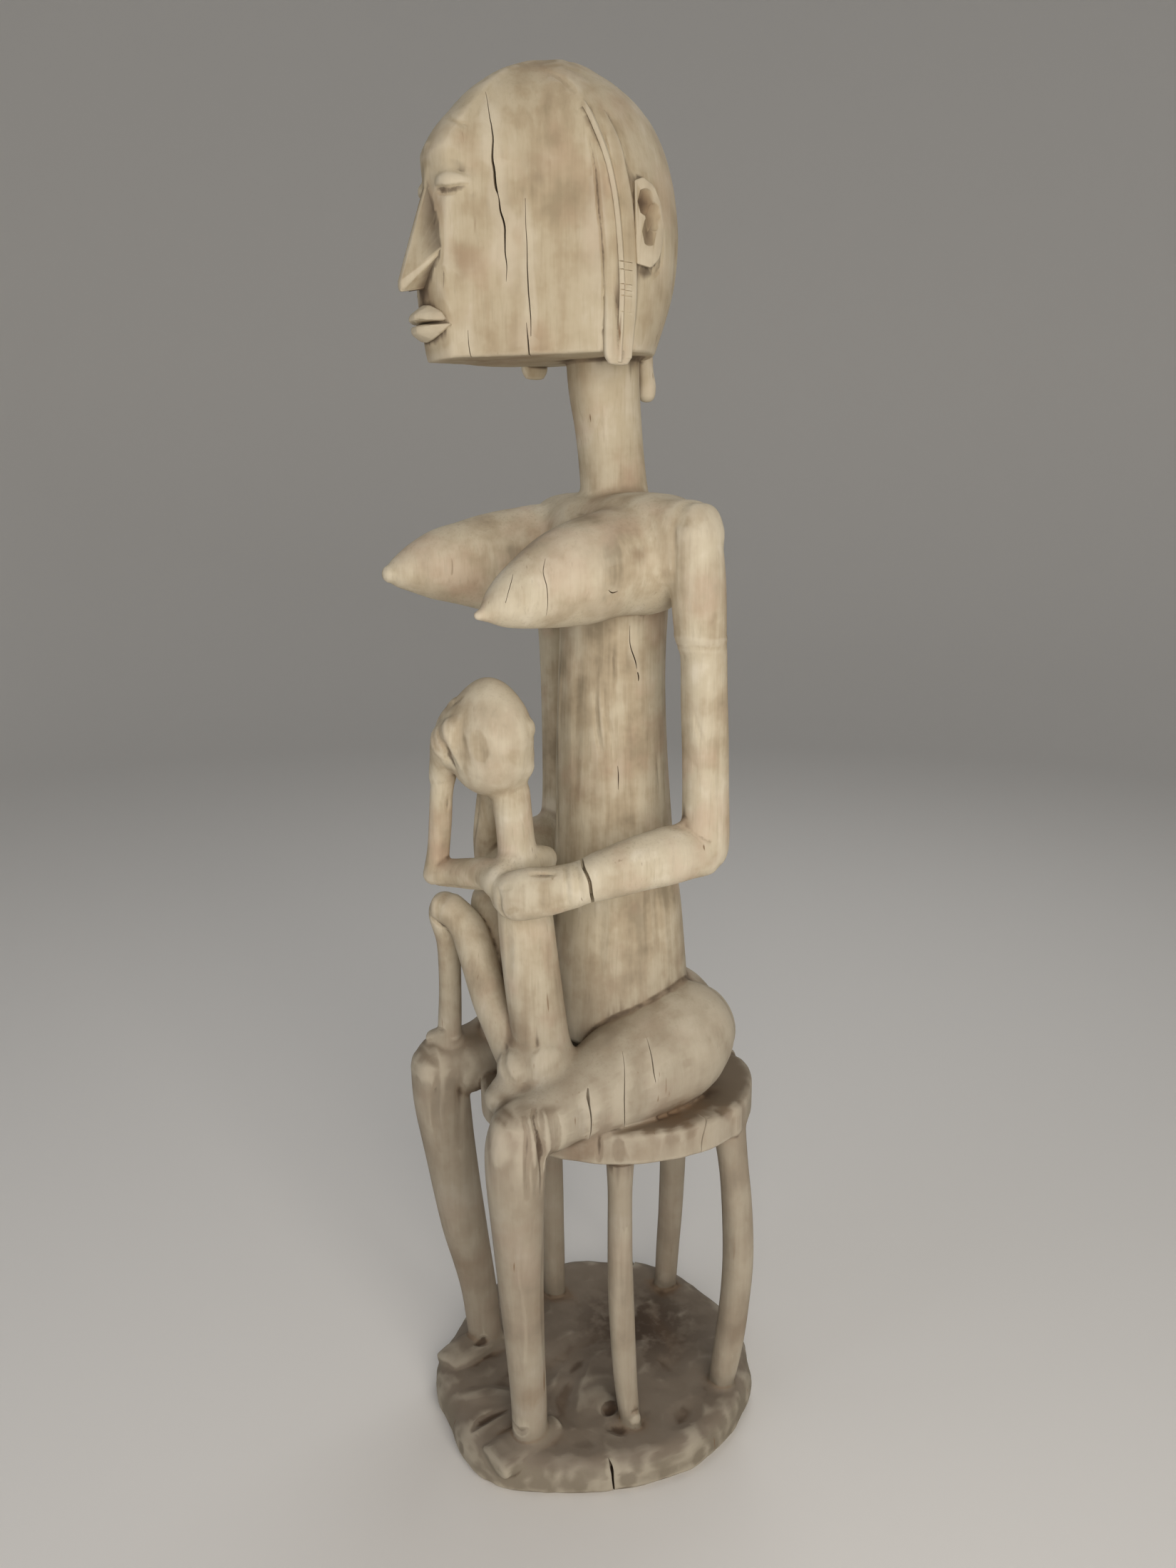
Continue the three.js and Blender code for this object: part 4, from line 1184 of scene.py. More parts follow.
@dataclass
class Child(Part):
    """The child squats on her left thigh, elbows on its knees and its hands to its face."""

    facing: float = math.radians(195)
    head_centre: Station = (5.5, -66.5, 395)
    head_halves: Station = (27, 20.5, 31.5)
    head_rows: int = 32
    head_sides: int = 48
    chin_taper: float = 0.12

    def __post_init__(self) -> None:
        """Names the soft passages and the carved hollows of hands, face and limbs."""
        self.eases = [
            Ease((22, -56, 326), 20), Ease((16, -58, 372), 18), Ease((-26, -82, 312), 13),
            Ease((-30, -53, 312), 12), Ease((34, -62, 216), 36), Ease((-29, -79, 290), 10, 0.7),
            Ease((-30, -54, 290), 12), Ease((-44, -73, 210), 12, 0.8), Ease((-6, -82, 396), 24),
            Ease((-12, -56, 386), 16), Ease((12, -60, 236), 16, 0.8), Ease((6, -56, 352), 16, 0.8),
        ]
        self.marks = [
            Mark([(-13, -84, 409), (-6, -84, 412), (0, -83, 415.5), (4, -81, 418)], 2.6, 0.8),
            Mark([(-12, -86, 405), (-4, -87, 408), (2, -86, 411)], 3.4, -0.6),
            Mark([(7, -87, 408), (10.5, -86.5, 402), (14, -85, 392.5), (17, -84, 383)], 3.6, 0.6),
            Mark([(3, -88, 406), (6, -87.5, 394), (10, -85.5, 380)], 3.0, -1.2),
            Mark([(-1, -87, 402), (1.5, -86.5, 390), (4, -85, 377)], 2.8, 1.0),
            Mark([(-5, -86, 402), (-4, -87, 390), (-3, -86, 378)], 2.8, -0.6),
            Mark([(20, -80, 400), (23, -78, 388)], 6.0, 0.8),
            Mark([(22, -66, 391), (25, -60, 388), (27, -54, 392)], 6.0, 1.0),
            Mark([(27, -50, 402), (27, -47, 404)], 6.0, -1.6),
            Mark([(26, -52, 380), (26, -49, 378)], 6.0, -1.2),
            Mark([(-14, -82.5, 362), (-15, -82.5, 352)], 1.8, 0.7),
            Mark([(-22, -57, 358), (-27, -59, 340), (-33, -60, 322)], 2.2, 1.0),
            Mark([(41.5, -59, 250), (42.5, -59, 237), (42.5, -59.5, 229)], 2.4, 0.6),
            Mark([(30, -68, 300), (31, -68, 270)], 4.0, 0.6),
            Mark([(-34, -84, 290), (-26, -86, 284), (-22, -84, 278)], 2.4, 1.2),
            Mark([(-30, -87, 300), (-26, -89, 290)], 4.0, -1.0),
            Mark([(-30, -88, 311), (-22, -88, 307), (-8, -83, 308), (8, -78, 311)], 2.2, 1.0),
            Mark([(26, -73, 232), (33, -74, 222), (40, -71, 212)], 3.4, 0.9),
            Mark([(-46, -80, 214), (-38, -80, 214)], 2.4, 1.0),
        ]
        self.stains = [
            Stain((25, -66, 390), 10, 0.4), Stain((-6, -86, 392), 10, 0.4), Stain((10, -80, 270), 14, 0.3),
            Stain((-24, -80, 300), 8, 0.3), Stain((-26, -58, 330), 14, 0.5), Stain((34, -66, 240), 14, 0.3),
        ]

    def head_ring(self, row: np.ndarray, turn: np.ndarray) -> np.ndarray:
        """Places points on the child's long head.

        Args:
            row: 0 at the chin and head_rows at the crown.
            turn: once around from the face.

        Returns:
            n by 3 places in millimetres.
        """
        lift = -np.cos(row / self.head_rows * math.pi)
        wide = np.sin(row / self.head_rows * math.pi) * (1 - self.chin_taper * lift * np.abs(lift))
        long, broad, tall = self.head_halves
        ahead = long * wide * np.cos(turn * 2 * math.pi)
        aside = broad * wide * np.sin(turn * 2 * math.pi)
        x, y, h = self.head_centre
        x = x + ahead * math.cos(self.facing) - aside * math.sin(self.facing)
        y = y + ahead * math.sin(self.facing) + aside * math.cos(self.facing)
        return place(np.stack([x, y, h + tall * lift], axis=1))

    def build(self, body: bmesh.types.BMesh) -> None:
        """Adds the child's body, head and limbs to the block.

        Args:
            body: the mesh that takes the forms.
        """
        lay_skin(body, self.head_sides, self.head_rows, self.head_ring)
        Egg((14, -57.5, 386), (12.5, 11.5, 19), 0.2).add_to(body)
        Limb([
            (33, -47, 214, 15, 17), (31, -50, 230, 14.5, 15.5), (28.5, -52.7, 254, 14.5, 15.5),
            (26.5, -54.8, 278, 15, 15.5), (24.5, -56, 300, 14, 15), (21, -56, 322, 11, 14),
        ], up=Y_UP, dome=0.6, rows=36).add_to(body)
        Egg((40, -52, 220), (10, 13, 16), 0.2).add_to(body)
        Egg((31, -63, 217), (13, 13, 13), 0.2).add_to(body)
        Egg((33, -72, 202), (14, 12, 10), 0.2).add_to(body)
        Limb([
            (-20, -83.4, 370, 7), (-13, -84, 382, 8.4), (-4, -85.4, 393, 9.6), (4, -84, 400, 8),
            (8, -80, 407, 5),
        ], up=Y_UP, rows=24).add_to(body)
        Limb([
            (14.5, -38, 327, 7), (18, -48, 328, 8.5), (21, -60, 326, 9.5), (25, -70, 321, 9.5),
        ], rows=18).add_to(body)
        upright = [
            [(18, -56, 326, 12), (16.5, -56.8, 338, 10.2), (14.5, -57.3, 352, 10), (12, -58, 366, 10.6)],
            [(-26, -86, 314, 7.4), (-24.3, -84.5, 329.7, 6.3), (-22, -83.8, 346, 6.3),
             (-19.5, -83.4, 364.5, 6.4), (-16, -81.2, 383, 8.0), (-12.5, -80.4, 398, 8.8),
             (-6, -76.5, 409, 8)],
            [(-31, -52.5, 316, 7), (-29, -53.3, 332, 7.4), (-24, -53, 352, 7.4), (-17, -54, 370, 7.4),
             (-10, -56, 384, 7)],
            [(-29, -79.5, 296, 7.6), (-32.5, -79, 288, 8.3), (-36, -75, 270, 6.8), (-40, -73, 243, 6.4),
             (-43.5, -72.3, 217, 6.8), (-44.5, -72.5, 206, 7)],
            [(-29, -55, 296, 7.4), (-31.5, -54, 286, 7.8), (-35.5, -49.5, 250, 6.2), (-39, -47.5, 216, 6.5),
             (-39.5, -47.5, 206, 6.8)],
        ]
        level = [
            [(25, -70, 320.5, 9), (11, -70, 321.5, 8.8), (-5, -74.7, 318.7, 8.3), (-16, -79, 316.8, 7.8),
             (-25, -85, 315.5, 7.8)],
            [(14.5, -39, 325, 7.5), (-6, -43, 322, 7), (-30, -51, 318.5, 6.8)],
            [(33, -55, 214, 13.5), (21, -59.5, 219, 12.5), (11, -64.5, 234, 10.4), (1, -66.8, 248.5, 10.4),
             (-11, -68.5, 270, 10.4), (-19, -71, 283.5, 9.6), (-27, -77.5, 293.5, 9)],
            [(30, -42, 216, 12), (12, -46, 234, 10), (-8, -49.5, 266, 9.5), (-27, -54, 291, 8.3)],
            [(40, -56, 210, 8, 6), (34, -68, 209, 8.5, 6.5), (27, -74, 207, 7, 5.5)],
            [(-41, -70, 210, 6, 4.5), (-47, -75, 209, 6.5, 4.5), (-53, -80, 206.5, 6, 3.5)],
        ]
        for stations in upright:
            Limb(stations, up=Y_UP, rows=34, sides=24).add_to(body)
        for stations in level:
            Limb(stations, rows=34, sides=24).add_to(body)


class Noise:
    """Seeded lattice noise, the same on every run."""

    def __init__(self, seed: int, size: int = 48) -> None:
        """Draws the lattice.

        Args:
            seed: the draw's seed.
            size: lattice points each way before it repeats.
        """
        self.size = size
        self.lattice = np.random.default_rng(seed).random((size, size, size)) * 2 - 1

    def at(self, points: np.ndarray, spacing: Station) -> np.ndarray:
        """Reads smooth noise.

        Args:
            points: n by 3 places in millimetres.
            spacing: the lattice's spacing along x, y and z in millimetres.

        Returns:
            n values from -1 to 1.
        """
        grid = points / np.array(spacing)
        low = np.floor(grid).astype(int)
        part = grid - low
        part = part * part * (3 - 2 * part)
        total = np.zeros(len(points))
        for corner in np.ndindex(2, 2, 2):
            index = (low + corner) % self.size
            weight = np.prod(np.where(np.array(corner, bool), part, 1 - part), axis=1)
            total += weight * self.lattice[index[:, 0], index[:, 1], index[:, 2]]
        return total


@dataclass
class Surface:
    """The points, normals and edges of a mesh as arrays, for work with the knife."""

    mesh: bpy.types.Mesh
    path_step: float = 0.6
    path_margin: float = 5.0
    narrowest: float = 0.45
    wall: float = 1.5
    same_side: float = 0.1
    outer_share: float = 0.12

    def __post_init__(self) -> None:
        """Reads the arrays from the mesh."""
        self.spots = self.read(self.mesh.vertices, "co", 3)
        self.normals = self.read(self.mesh.vertices, "normal", 3)
        self.edges = self.read(self.mesh.edges, "vertices", 2, whole=True)

    @staticmethod
    def read(source: bpy.types.bpy_prop_collection, name: str, width: int, whole: bool = False) -> np.ndarray:
        """Reads one property of a collection.

        Args:
            source: the collection.
            name: the property's name.
            width: how many numbers each item has.
            whole: whether they are whole numbers.

        Returns:
            n by width numbers.
        """
        flat = np.zeros(len(source) * width, np.int32 if whole else np.float32)
        source.foreach_get(name, flat)
        return flat.reshape(-1, width).astype(np.int64 if whole else float)

    @staticmethod
    def beside(one: np.ndarray, two: np.ndarray, values: np.ndarray) -> np.ndarray:
        """Adds up the values of each point's neighbours.

        Args:
            one: the number of the point at each edge's start.
            two: the number of the point at its end.
            values: one value for each point.

        Returns:
            One sum for each point.
        """
        return np.bincount(one, values[two], len(values)) + np.bincount(two, values[one], len(values))

    def relaxed(self, rounds: int, weight: np.ndarray | float = 1.0, pull: float = 0.5) -> np.ndarray:
        """Rubs the surface smooth.

        Args:
            rounds: how often each point moves towards its neighbours' middle.
            weight: how far each point may follow, from 0 to 1.
            pull: the share of the way in one round.

        Returns:
            The smoothed places.
        """
        count = len(self.spots)
        weight = np.broadcast_to(weight, (count,))
        weight = np.where(weight > 0.01, weight, 0.0)
        moving = (weight[self.edges] > 0).any(axis=1)
        one, two = self.edges[moving].T
        near = np.maximum(self.beside(one, two, np.ones(count)), 1)
        share = pull * weight
        spots = self.spots.copy()
        for _ in range(rounds):
            for axis in range(3):
                line = spots[:, axis]
                spots[:, axis] = line + share * (self.beside(one, two, line) / near - line)
        return spots

    def fill_corners(self, weight: np.ndarray, rounds: int = 110) -> None:
        """Rounds inner corners as a gouge leaves them, and lets the limbs keep their girth.

        Args:
            weight: how far each point may follow, from 0 to 1.
            rounds: rounds of rubbing.
        """
        move = self.relaxed(rounds, weight) - self.spots
        lift = self.spread((move * self.normals).sum(axis=1), 6)
        share = self.outer_share + (1 - self.outer_share) * step(-0.2, 0.35, lift)
        self.write(self.spots + move * self.spread(share, 4)[:, None])
        self.write(self.relaxed(8, weight * 0.7))

    def write(self, spots: np.ndarray) -> None:
        """Puts new places into the mesh and reads its normals again.

        Args:
            spots: n by 3 places in millimetres.
        """
        self.spots = spots
        self.mesh.vertices.foreach_set("co", spots.astype(np.float32).ravel())
        self.mesh.update()
        self.normals = self.read(self.mesh.vertices, "normal", 3)

    def cut_depth(self, mark: Mark) -> tuple[np.ndarray, np.ndarray]:
        """Works out how deep one mark goes at each point that it reaches.

        Args:
            mark: the mark.

        Returns:
            The points' numbers and their depths.
        """
        line = place(np.array(mark.line, float))
        length = np.linalg.norm(np.diff(line, axis=0), axis=1).sum()
        along = np.linspace(0, 1, max(int(length / self.path_step), 4))
        path = spline(line, along)
        reach = mark.half_width + self.path_margin
        low, high = path.min(axis=0) - reach, path.max(axis=0) + reach
        near = np.nonzero(((self.spots > low) & (self.spots < high)).all(axis=1))[0]
        if len(near) == 0:
            return near, np.zeros(0)
        spots, normals = self.spots[near], self.normals[near]
        anchors = np.array([np.argmin(((spots - spot) ** 2).sum(axis=1)) for spot in path])
        facing = normals[anchors]
        off = ((path - spots[anchors]) * facing).sum(axis=1, keepdims=True)
        laid = path - facing * off
        best = np.zeros(len(near))
        ends = np.minimum(along, 1 - along) / max(mark.taper, 1e-3)
        size = np.sqrt(np.clip(ends, 0.0, 1.0))
        for spot, normal, share in zip(laid, facing, size):
            width = mark.half_width * (self.narrowest + (1 - self.narrowest) * share)
            away = np.linalg.norm(spots - spot, axis=1) / width
            fits = (away < 1) & (normals @ normal > self.same_side)
            depth = (1 - away[fits] ** mark.edge.value) ** self.wall * share
            best[fits] = np.maximum(best[fits], depth)
        return near, best * mark.depth

    def spread(self, values: np.ndarray, rounds: int) -> np.ndarray:
        """Evens out values over neighbouring points.

        Args:
            values: one value for each point.
            rounds: how often each takes half of its neighbours' middle.

        Returns:
            The evened values.
        """
        one, two = self.edges.T
        near = np.maximum(self.beside(one, two, np.ones(len(values))), 1)
        for _ in range(rounds):
            values = 0.5 * values + 0.5 * self.beside(one, two, values) / near
        return values

    def soft_spots(self, spots: Sequence[Ease | Stain], core: float) -> np.ndarray:
        """Works out how strongly a set of soft, round spots covers each point.

        Args:
            spots: the spots, each with its centre, reach and strength.
            core: the share of the reach that keeps the full strength.

        Returns:
            The strongest spot's strength at each point.
        """
        cover = np.zeros(len(self.spots))
        for spot in spots:
            centre = place(np.array([spot.centre]))[0]
            away = np.linalg.norm(self.spots - centre, axis=1) / spot.reach
            cover = np.maximum(cover, spot.strength * (1 - step(core, 1.0, away)))
        return cover


def settle(piece: bpy.types.Object) -> None:
    """Makes a piece's modifiers part of its mesh.

    Args:
        piece: the object.
    """
    graph = bpy.context.evaluated_depsgraph_get()
    made = bpy.data.meshes.new_from_object(piece.evaluated_get(graph))
    old = piece.data
    piece.modifiers.clear()
    piece.data = made
    bpy.data.meshes.remove(old)


def in_scene(name: str, data: bpy.types.ID) -> bpy.types.Object:
    """Puts a mesh, a light or a camera into the scene as an object of that name.

    Args:
        name: its name.
        data: its mesh, light or camera.

    Returns:
        The object.
    """
    thing = bpy.data.objects.new(name, data)
    bpy.context.scene.collection.objects.link(thing)
    return thing


def new_piece(name: str, body: bmesh.types.BMesh) -> bpy.types.Object:
    """Makes an object from a mesh and frees the mesh.

    Args:
        name: the object's name.
        body: its mesh.

    Returns:
        The object, in the scene.
    """
    mesh = bpy.data.meshes.new(name)
    body.to_mesh(mesh)
    body.free()
    return in_scene(name, mesh)


def rims(body: bmesh.types.BMesh) -> list[bmesh.types.BMEdge]:
    """Returns the edges that bound only one face."""
    return [edge for edge in body.edges if len(edge.link_faces) == 1]


def keep_outer_skin(body: bmesh.types.BMesh) -> int:
    """Takes out every loose shell but the largest.

    Args:
        body: the mesh.

    Returns:
        How many shells there were.
    """
    left = set(body.verts)
    islands = []
    while left:
        island = {left.pop()}
        edge = list(island)
        while edge:
            for link in edge.pop().link_edges:
                for vert in link.verts:
                    if vert in left:
                        left.remove(vert)
                        island.add(vert)
                        edge.append(vert)
        islands.append(island)
    islands.sort(key=len, reverse=True)
    spare = [vert for island in islands[1:] for vert in island]
    bmesh.ops.delete(body, geom=spare, context="VERTS")
    return len(islands)


class Join(Enum):
    """What a tool's form does to the carving."""

    ADD = "UNION"
    CUT = "DIFFERENCE"


@dataclass
class Carving:
    """The whole figure: its parts grown into one mesh, marked, cracked and finished."""

    parts: list[Part]
    arms: MotherArms
    piece: bpy.types.Object | None = None
    quick_voxel: float = 1.6
    blade_step: float = 3.0
    thinnest_blade: float = 0.08
    shelter_reach: float = 70.0
    shelter_rays: int = 14
    quick_rays: int = 6
    ray_start: float = 0.4
    clean_rounds: int = 4

    def build(self) -> bpy.types.Object:
        """Makes the carving's mesh.

        Returns:
            The finished piece, in metres.
        """
        self.grow()
        self.carve_marks()
        self.thin(TRIANGLE_BUDGET)
        self.join_crisp_forms()
        self.cut_scoops_and_cracks()
        self.clean()
        self.read_exposure()
        self.to_metres()
        return self.piece

    def grow(self) -> None:
        """Joins the main forms and rubs their junctions soft."""
        body = bmesh.new()
        for part in self.parts:
            part.build(body)
        bmesh.ops.recalc_face_normals(body, faces=body.faces[:])
        self.piece = new_piece(NODE + "_carved", body)
        grown = self.piece.modifiers.new("grow", "REMESH")
        grown.mode = "VOXEL"
        grown.voxel_size = VOXEL * 1.0
        settle(self.piece)
        skin = bmesh.new()
        skin.from_mesh(self.piece.data)
        log.info("skin: %d shells", keep_outer_skin(skin))
        skin.to_mesh(self.piece.data)
        skin.free()
        surface = Surface(self.piece.data)
        eases = [ease for part in self.parts for ease in part.eases]
        surface.fill_corners(surface.soft_spots(eases, core=0.45))
        surface.write(surface.relaxed(3))
        log.info("grown: %d points", len(surface.spots))

    def carve_marks(self) -> None:
        """Cuts the marks and the worn relief of the wood."""
        surface = Surface(self.piece.data)
        depth = np.zeros(len(surface.spots))
        for mark in (mark for part in self.parts for mark in part.marks):
            near, cut = surface.cut_depth(mark)
            depth[near] += cut
        depth += self.weathering(surface.spots)
        floor = step(0.0, 2.0, surface.spots[:, 2])
        spots = surface.spots - surface.normals * (depth * floor)[:, None]
        spots[:, 2] = np.maximum(spots[:, 2], 0.0)
        low, high = (np.array(corner) / MM for corner in CAD_BOX)
        surface.write(np.clip(spots, low, high))
        log.info("marks carved")

    @staticmethod
    def weathering(spots: np.ndarray) -> np.ndarray:
        """Works out the knife's soft facets, the crown's pits and the lumps low on the base.

        Args:
            spots: n by 3 places in millimetres.

        Returns:
            Depths in millimetres.
        """
        def rough(seed: int, across: float, along: float, depth: float) -> np.ndarray:
            """Returns noise of that depth whose patches are that wide and that tall."""
            return Noise(seed).at(spots, (across, across, along)) * depth

        crown = step(700.0, 740.0, spots[:, 2])
        low = 1 - step(12.0, 30.0, spots[:, 2])
        hewn = rough(11, 15.0, 38.0, 0.45) + rough(12, 7.0, 26.0, 0.16)
        pits = np.maximum(rough(14, 3.4, 5.0, 0.4), 0) * crown
        lumps = (rough(15, 11.0, 9.0, 0.7) + rough(16, 5.0, 5.0, 0.3)) * low
        return hewn + pits + lumps

    def thin(self, triangles: int) -> None:
        """Takes out triangles where the surface is even.

        Args:
            triangles: how many may stay.
        """
        self.piece.data.calc_loop_triangles()
        now = len(self.piece.data.loop_triangles)
        if now > triangles:
            fewer = self.piece.modifiers.new("thin", "DECIMATE")
            fewer.decimate_type = "COLLAPSE"
            fewer.ratio = triangles / now
            settle(self.piece)
        log.info("thinned from %d triangles to %d", now, triangles)

    def use(self, tool: bmesh.types.BMesh, join: Join) -> None:
        """Adds a closed form to the carving or cuts it away.

        Args:
            tool: the form, which is freed.
            join: whether it is added or cut.
        """
        bmesh.ops.recalc_face_normals(tool, faces=tool.faces[:])
        bmesh.ops.triangulate(tool, faces=tool.faces[:])
        helper = new_piece("tool", tool)
        kept = self.piece.data.copy()
        for solver in ("MANIFOLD", "EXACT"):
            cut = self.piece.modifiers.new("join", "BOOLEAN")
            cut.operation = join.value
            cut.solver = solver
            cut.object = helper
            settle(self.piece)
            if len(self.piece.data.vertices) > 0.9 * len(kept.vertices):
                break
            self.piece.data = kept.copy()
        before, after = len(kept.vertices), len(self.piece.data.vertices)
        log.info("%s by %s: %d points to %d", join.name, solver, before, after)
        bpy.data.objects.remove(helper)
        bpy.data.meshes.remove(kept)

    def use_layers(self, layers: Sequence[Sequence[Form]], join: Join) -> None:
        """Adds or cuts forms, one layer after another.

        Args:
            layers: the layers, each of forms that don't touch.
            join: whether they are added or cut.
        """
        for layer in layers:
            tool = bmesh.new()
            for form in layer:
                form.add_to(tool)
            self.use(tool, join)

    def join_crisp_forms(self) -> None:
        """Adds the forms that keep their knife-cut edges."""
        self.use_layers([layer for part in self.parts for layer in part.crisp_forms()], Join.ADD)

    def cut_scoops_and_cracks(self) -> None:
        """Cuts the crisp hollows, the broken wrist and the drying cracks, each with a thin blade."""
        self.use_layers([layer for part in self.parts for layer in part.scoops()], Join.CUT)
        self.use(self.arms.wrist_break(), Join.CUT)
        blades = bmesh.new()
        wobble = Noise(21)
        for number, crack in enumerate(crack for part in self.parts for crack in part.cracks):
            self.blade(crack, number, wobble).add_to(blades)
        self.use(blades, Join.CUT)

    def blade(self, crack: Crack, number: int, wobble: Noise) -> Limb:
        """Shapes the blade that cuts one drying crack.

        Args:
            crack: the crack.
            number: the crack's number, which picks its own stretch of noise.
            wobble: the noise that it wanders with.

        Returns:
            The blade.
        """
        table = np.array(crack.line, float)
        length = np.linalg.norm(np.diff(table[:, :3], axis=0), axis=1).sum()
        fine = spline(table, np.linspace(0, 1, max(int(length / self.blade_step), 6)))
        fine[:, 3:] = np.maximum(fine[:, 3:], self.thinnest_blade)
        across = unit(np.cross(np.array([crack.inward]), np.array([Z_UP])))[0]
        shift = np.stack([fine[:, 2], fine[:, 0] * 0 + number * 7.3, fine[:, 1] * 0], axis=1)
        sway = wobble.at(shift, (6.0, 1.0, 1.0))
        fine[:, :3] += across * (sway * crack.wander)[:, None]
        rows = [tuple(row) for row in fine]
        return Limb(rows, sides=12, rows=len(rows) * 2, dome=0.5, dome_rows=2, up=crack.inward)

    def clean(self) -> None:
        """Leaves one closed skin of triangles with nothing loose."""
        body = bmesh.new()
        body.from_mesh(self.piece.data)
        bmesh.ops.triangulate(body, faces=body.faces[:])
        islands = keep_outer_skin(body)
        for _ in range(self.clean_rounds):
            crowded = {face for edge in body.edges if len(edge.link_faces) > 2 for face in edge.link_faces}
            log.info("rims %d, crowded faces %d", len(rims(body)), len(crowded))
            if not crowded and not rims(body):
                break
            bmesh.ops.delete(body, geom=list(crowded), context="FACES")
            bmesh.ops.holes_fill(body, edges=rims(body), sides=0)
            bmesh.ops.triangulate(body, faces=[face for face in body.faces if len(face.verts) > 3])
        bmesh.ops.recalc_face_normals(body, faces=body.faces[:])
        open_edges = sum(1 for edge in body.edges if len(edge.link_faces) != 2)
        log.info("clean: %d islands, %d triangles, %d open edges", islands, len(body.faces), open_edges)
        body.to_mesh(self.piece.data)
        body.free()

    def read_exposure(self) -> None:
        """Stores what the finish needs to know of each point: its hollows, shelter, grain and stains."""
        surface = Surface(self.piece.data)
        # The hollows, folds and shelter stored here are used to paint shade, with some dirt, into the colour.
        for name, rounds, full, evened in (("hollow", 5, 0.35, 1), ("fold", 30, 1.6, 2)):
            sunk = ((surface.relaxed(rounds) - surface.spots) * surface.normals).sum(axis=1)
            self.store(name, surface.spread(np.clip(sunk / full, -1, 1), evened))
        self.store("sheltered", surface.spread(self.sheltered(surface), 2))
        upright = surface.spread(np.abs(surface.normals[:, 2]), 4)
        self.store("endgrain", step(0.35, 0.85, upright))
        stains = [stain for part in self.parts for stain in part.stains]
        self.store("stain", surface.soft_spots(stains, core=0.1))

    def sheltered(self, surface: Surface) -> np.ndarray:
        """Works out how much of the open air the carving itself hides from each point.

        Args:
            surface: the finished surface.

        Returns:
            0 for an open point and 1 for a closed-in one.
        """
        rays = self.shelter_rays
        turn = np.arange(rays) * GOLDEN_ANGLE
        rise = (np.arange(rays) + 0.5) / rays
        flat = np.sqrt(1 - rise**2)
        fan = np.stack([flat * np.cos(turn), flat * np.sin(turn), rise], axis=1)
        faces = surface.read(self.piece.data.polygons, "vertices", 3, whole=True)
        tree = BVHTree.FromPolygons(surface.spots.tolist(), faces.tolist())
        hidden = np.zeros(len(surface.spots))
        for number, (spot, normal) in enumerate(zip(surface.spots, surface.normals)):
            out = Vector(normal)
            start = Vector(spot) + out * self.ray_start
            turned = out.to_track_quat("Z", "Y").to_matrix()
            for ray in fan:
                hit = tree.ray_cast(start, turned @ Vector(ray), self.shelter_reach)[3]
                if hit is not None:
                    hidden[number] += 1 - hit / self.shelter_reach
        return hidden / rays

    def store(self, name: str, values: np.ndarray) -> None:
        """Keeps one value for each point under a name."""
        layer = self.piece.data.attributes.new(name, "FLOAT", "POINT")
        layer.data.foreach_set("value", values.astype(np.float32))

    def to_metres(self) -> None:
        """Brings the piece to metres and shades it smooth, with the cracks' lips sharp."""
        mesh = self.piece.data
        mesh.transform(Matrix.Scale(MM, 4))
        mesh.shade_smooth()
        mesh.set_sharp_from_angle(angle=math.radians(SHARP_ANGLE))
        mesh.update()


def linear(code: str) -> tuple[float, float, float, float]:
    """Turns an sRGB hex colour into linear light.

    Args:
        code: six hex digits.

    Returns:
        Red, green, blue and alpha.
    """
    parts = [int(code[start : start + 2], 16) / 255 for start in (0, 2, 4)]
    light = [part / 12.92 if part <= 0.04045 else ((part + 0.055) / 1.055) ** 2.4 for part in parts]
    return (*light, 1.0)


class Bench:
    """A material's node tree with one way of adding a node."""

    def __init__(self, name: str) -> None:
        """Makes an empty material of that name.

        Args:
            name: its name.
        """
        self.material = bpy.data.materials.new(name)
        self.material.use_nodes = True
        self.tree = self.material.node_tree
        self.tree.nodes.clear()

    def add(self, kind: str, inputs: dict | None = None, **settings: object) -> bpy.types.Node:
        """Adds a node with its settings and links.

        Args:
            kind: the node's type name.
            inputs: values, or sockets to link, by input name or number.
            settings: the node's own properties.

        Returns:
            The node.
        """
        node = self.tree.nodes.new(kind)
        for name, value in settings.items():
            setattr(node, name, value)
        for key, value in (inputs or {}).items():
            socket = node.inputs[key]
            if isinstance(value, bpy.types.NodeSocket):
                self.tree.links.new(value, socket)
            else:
                socket.default_value = value
        return node


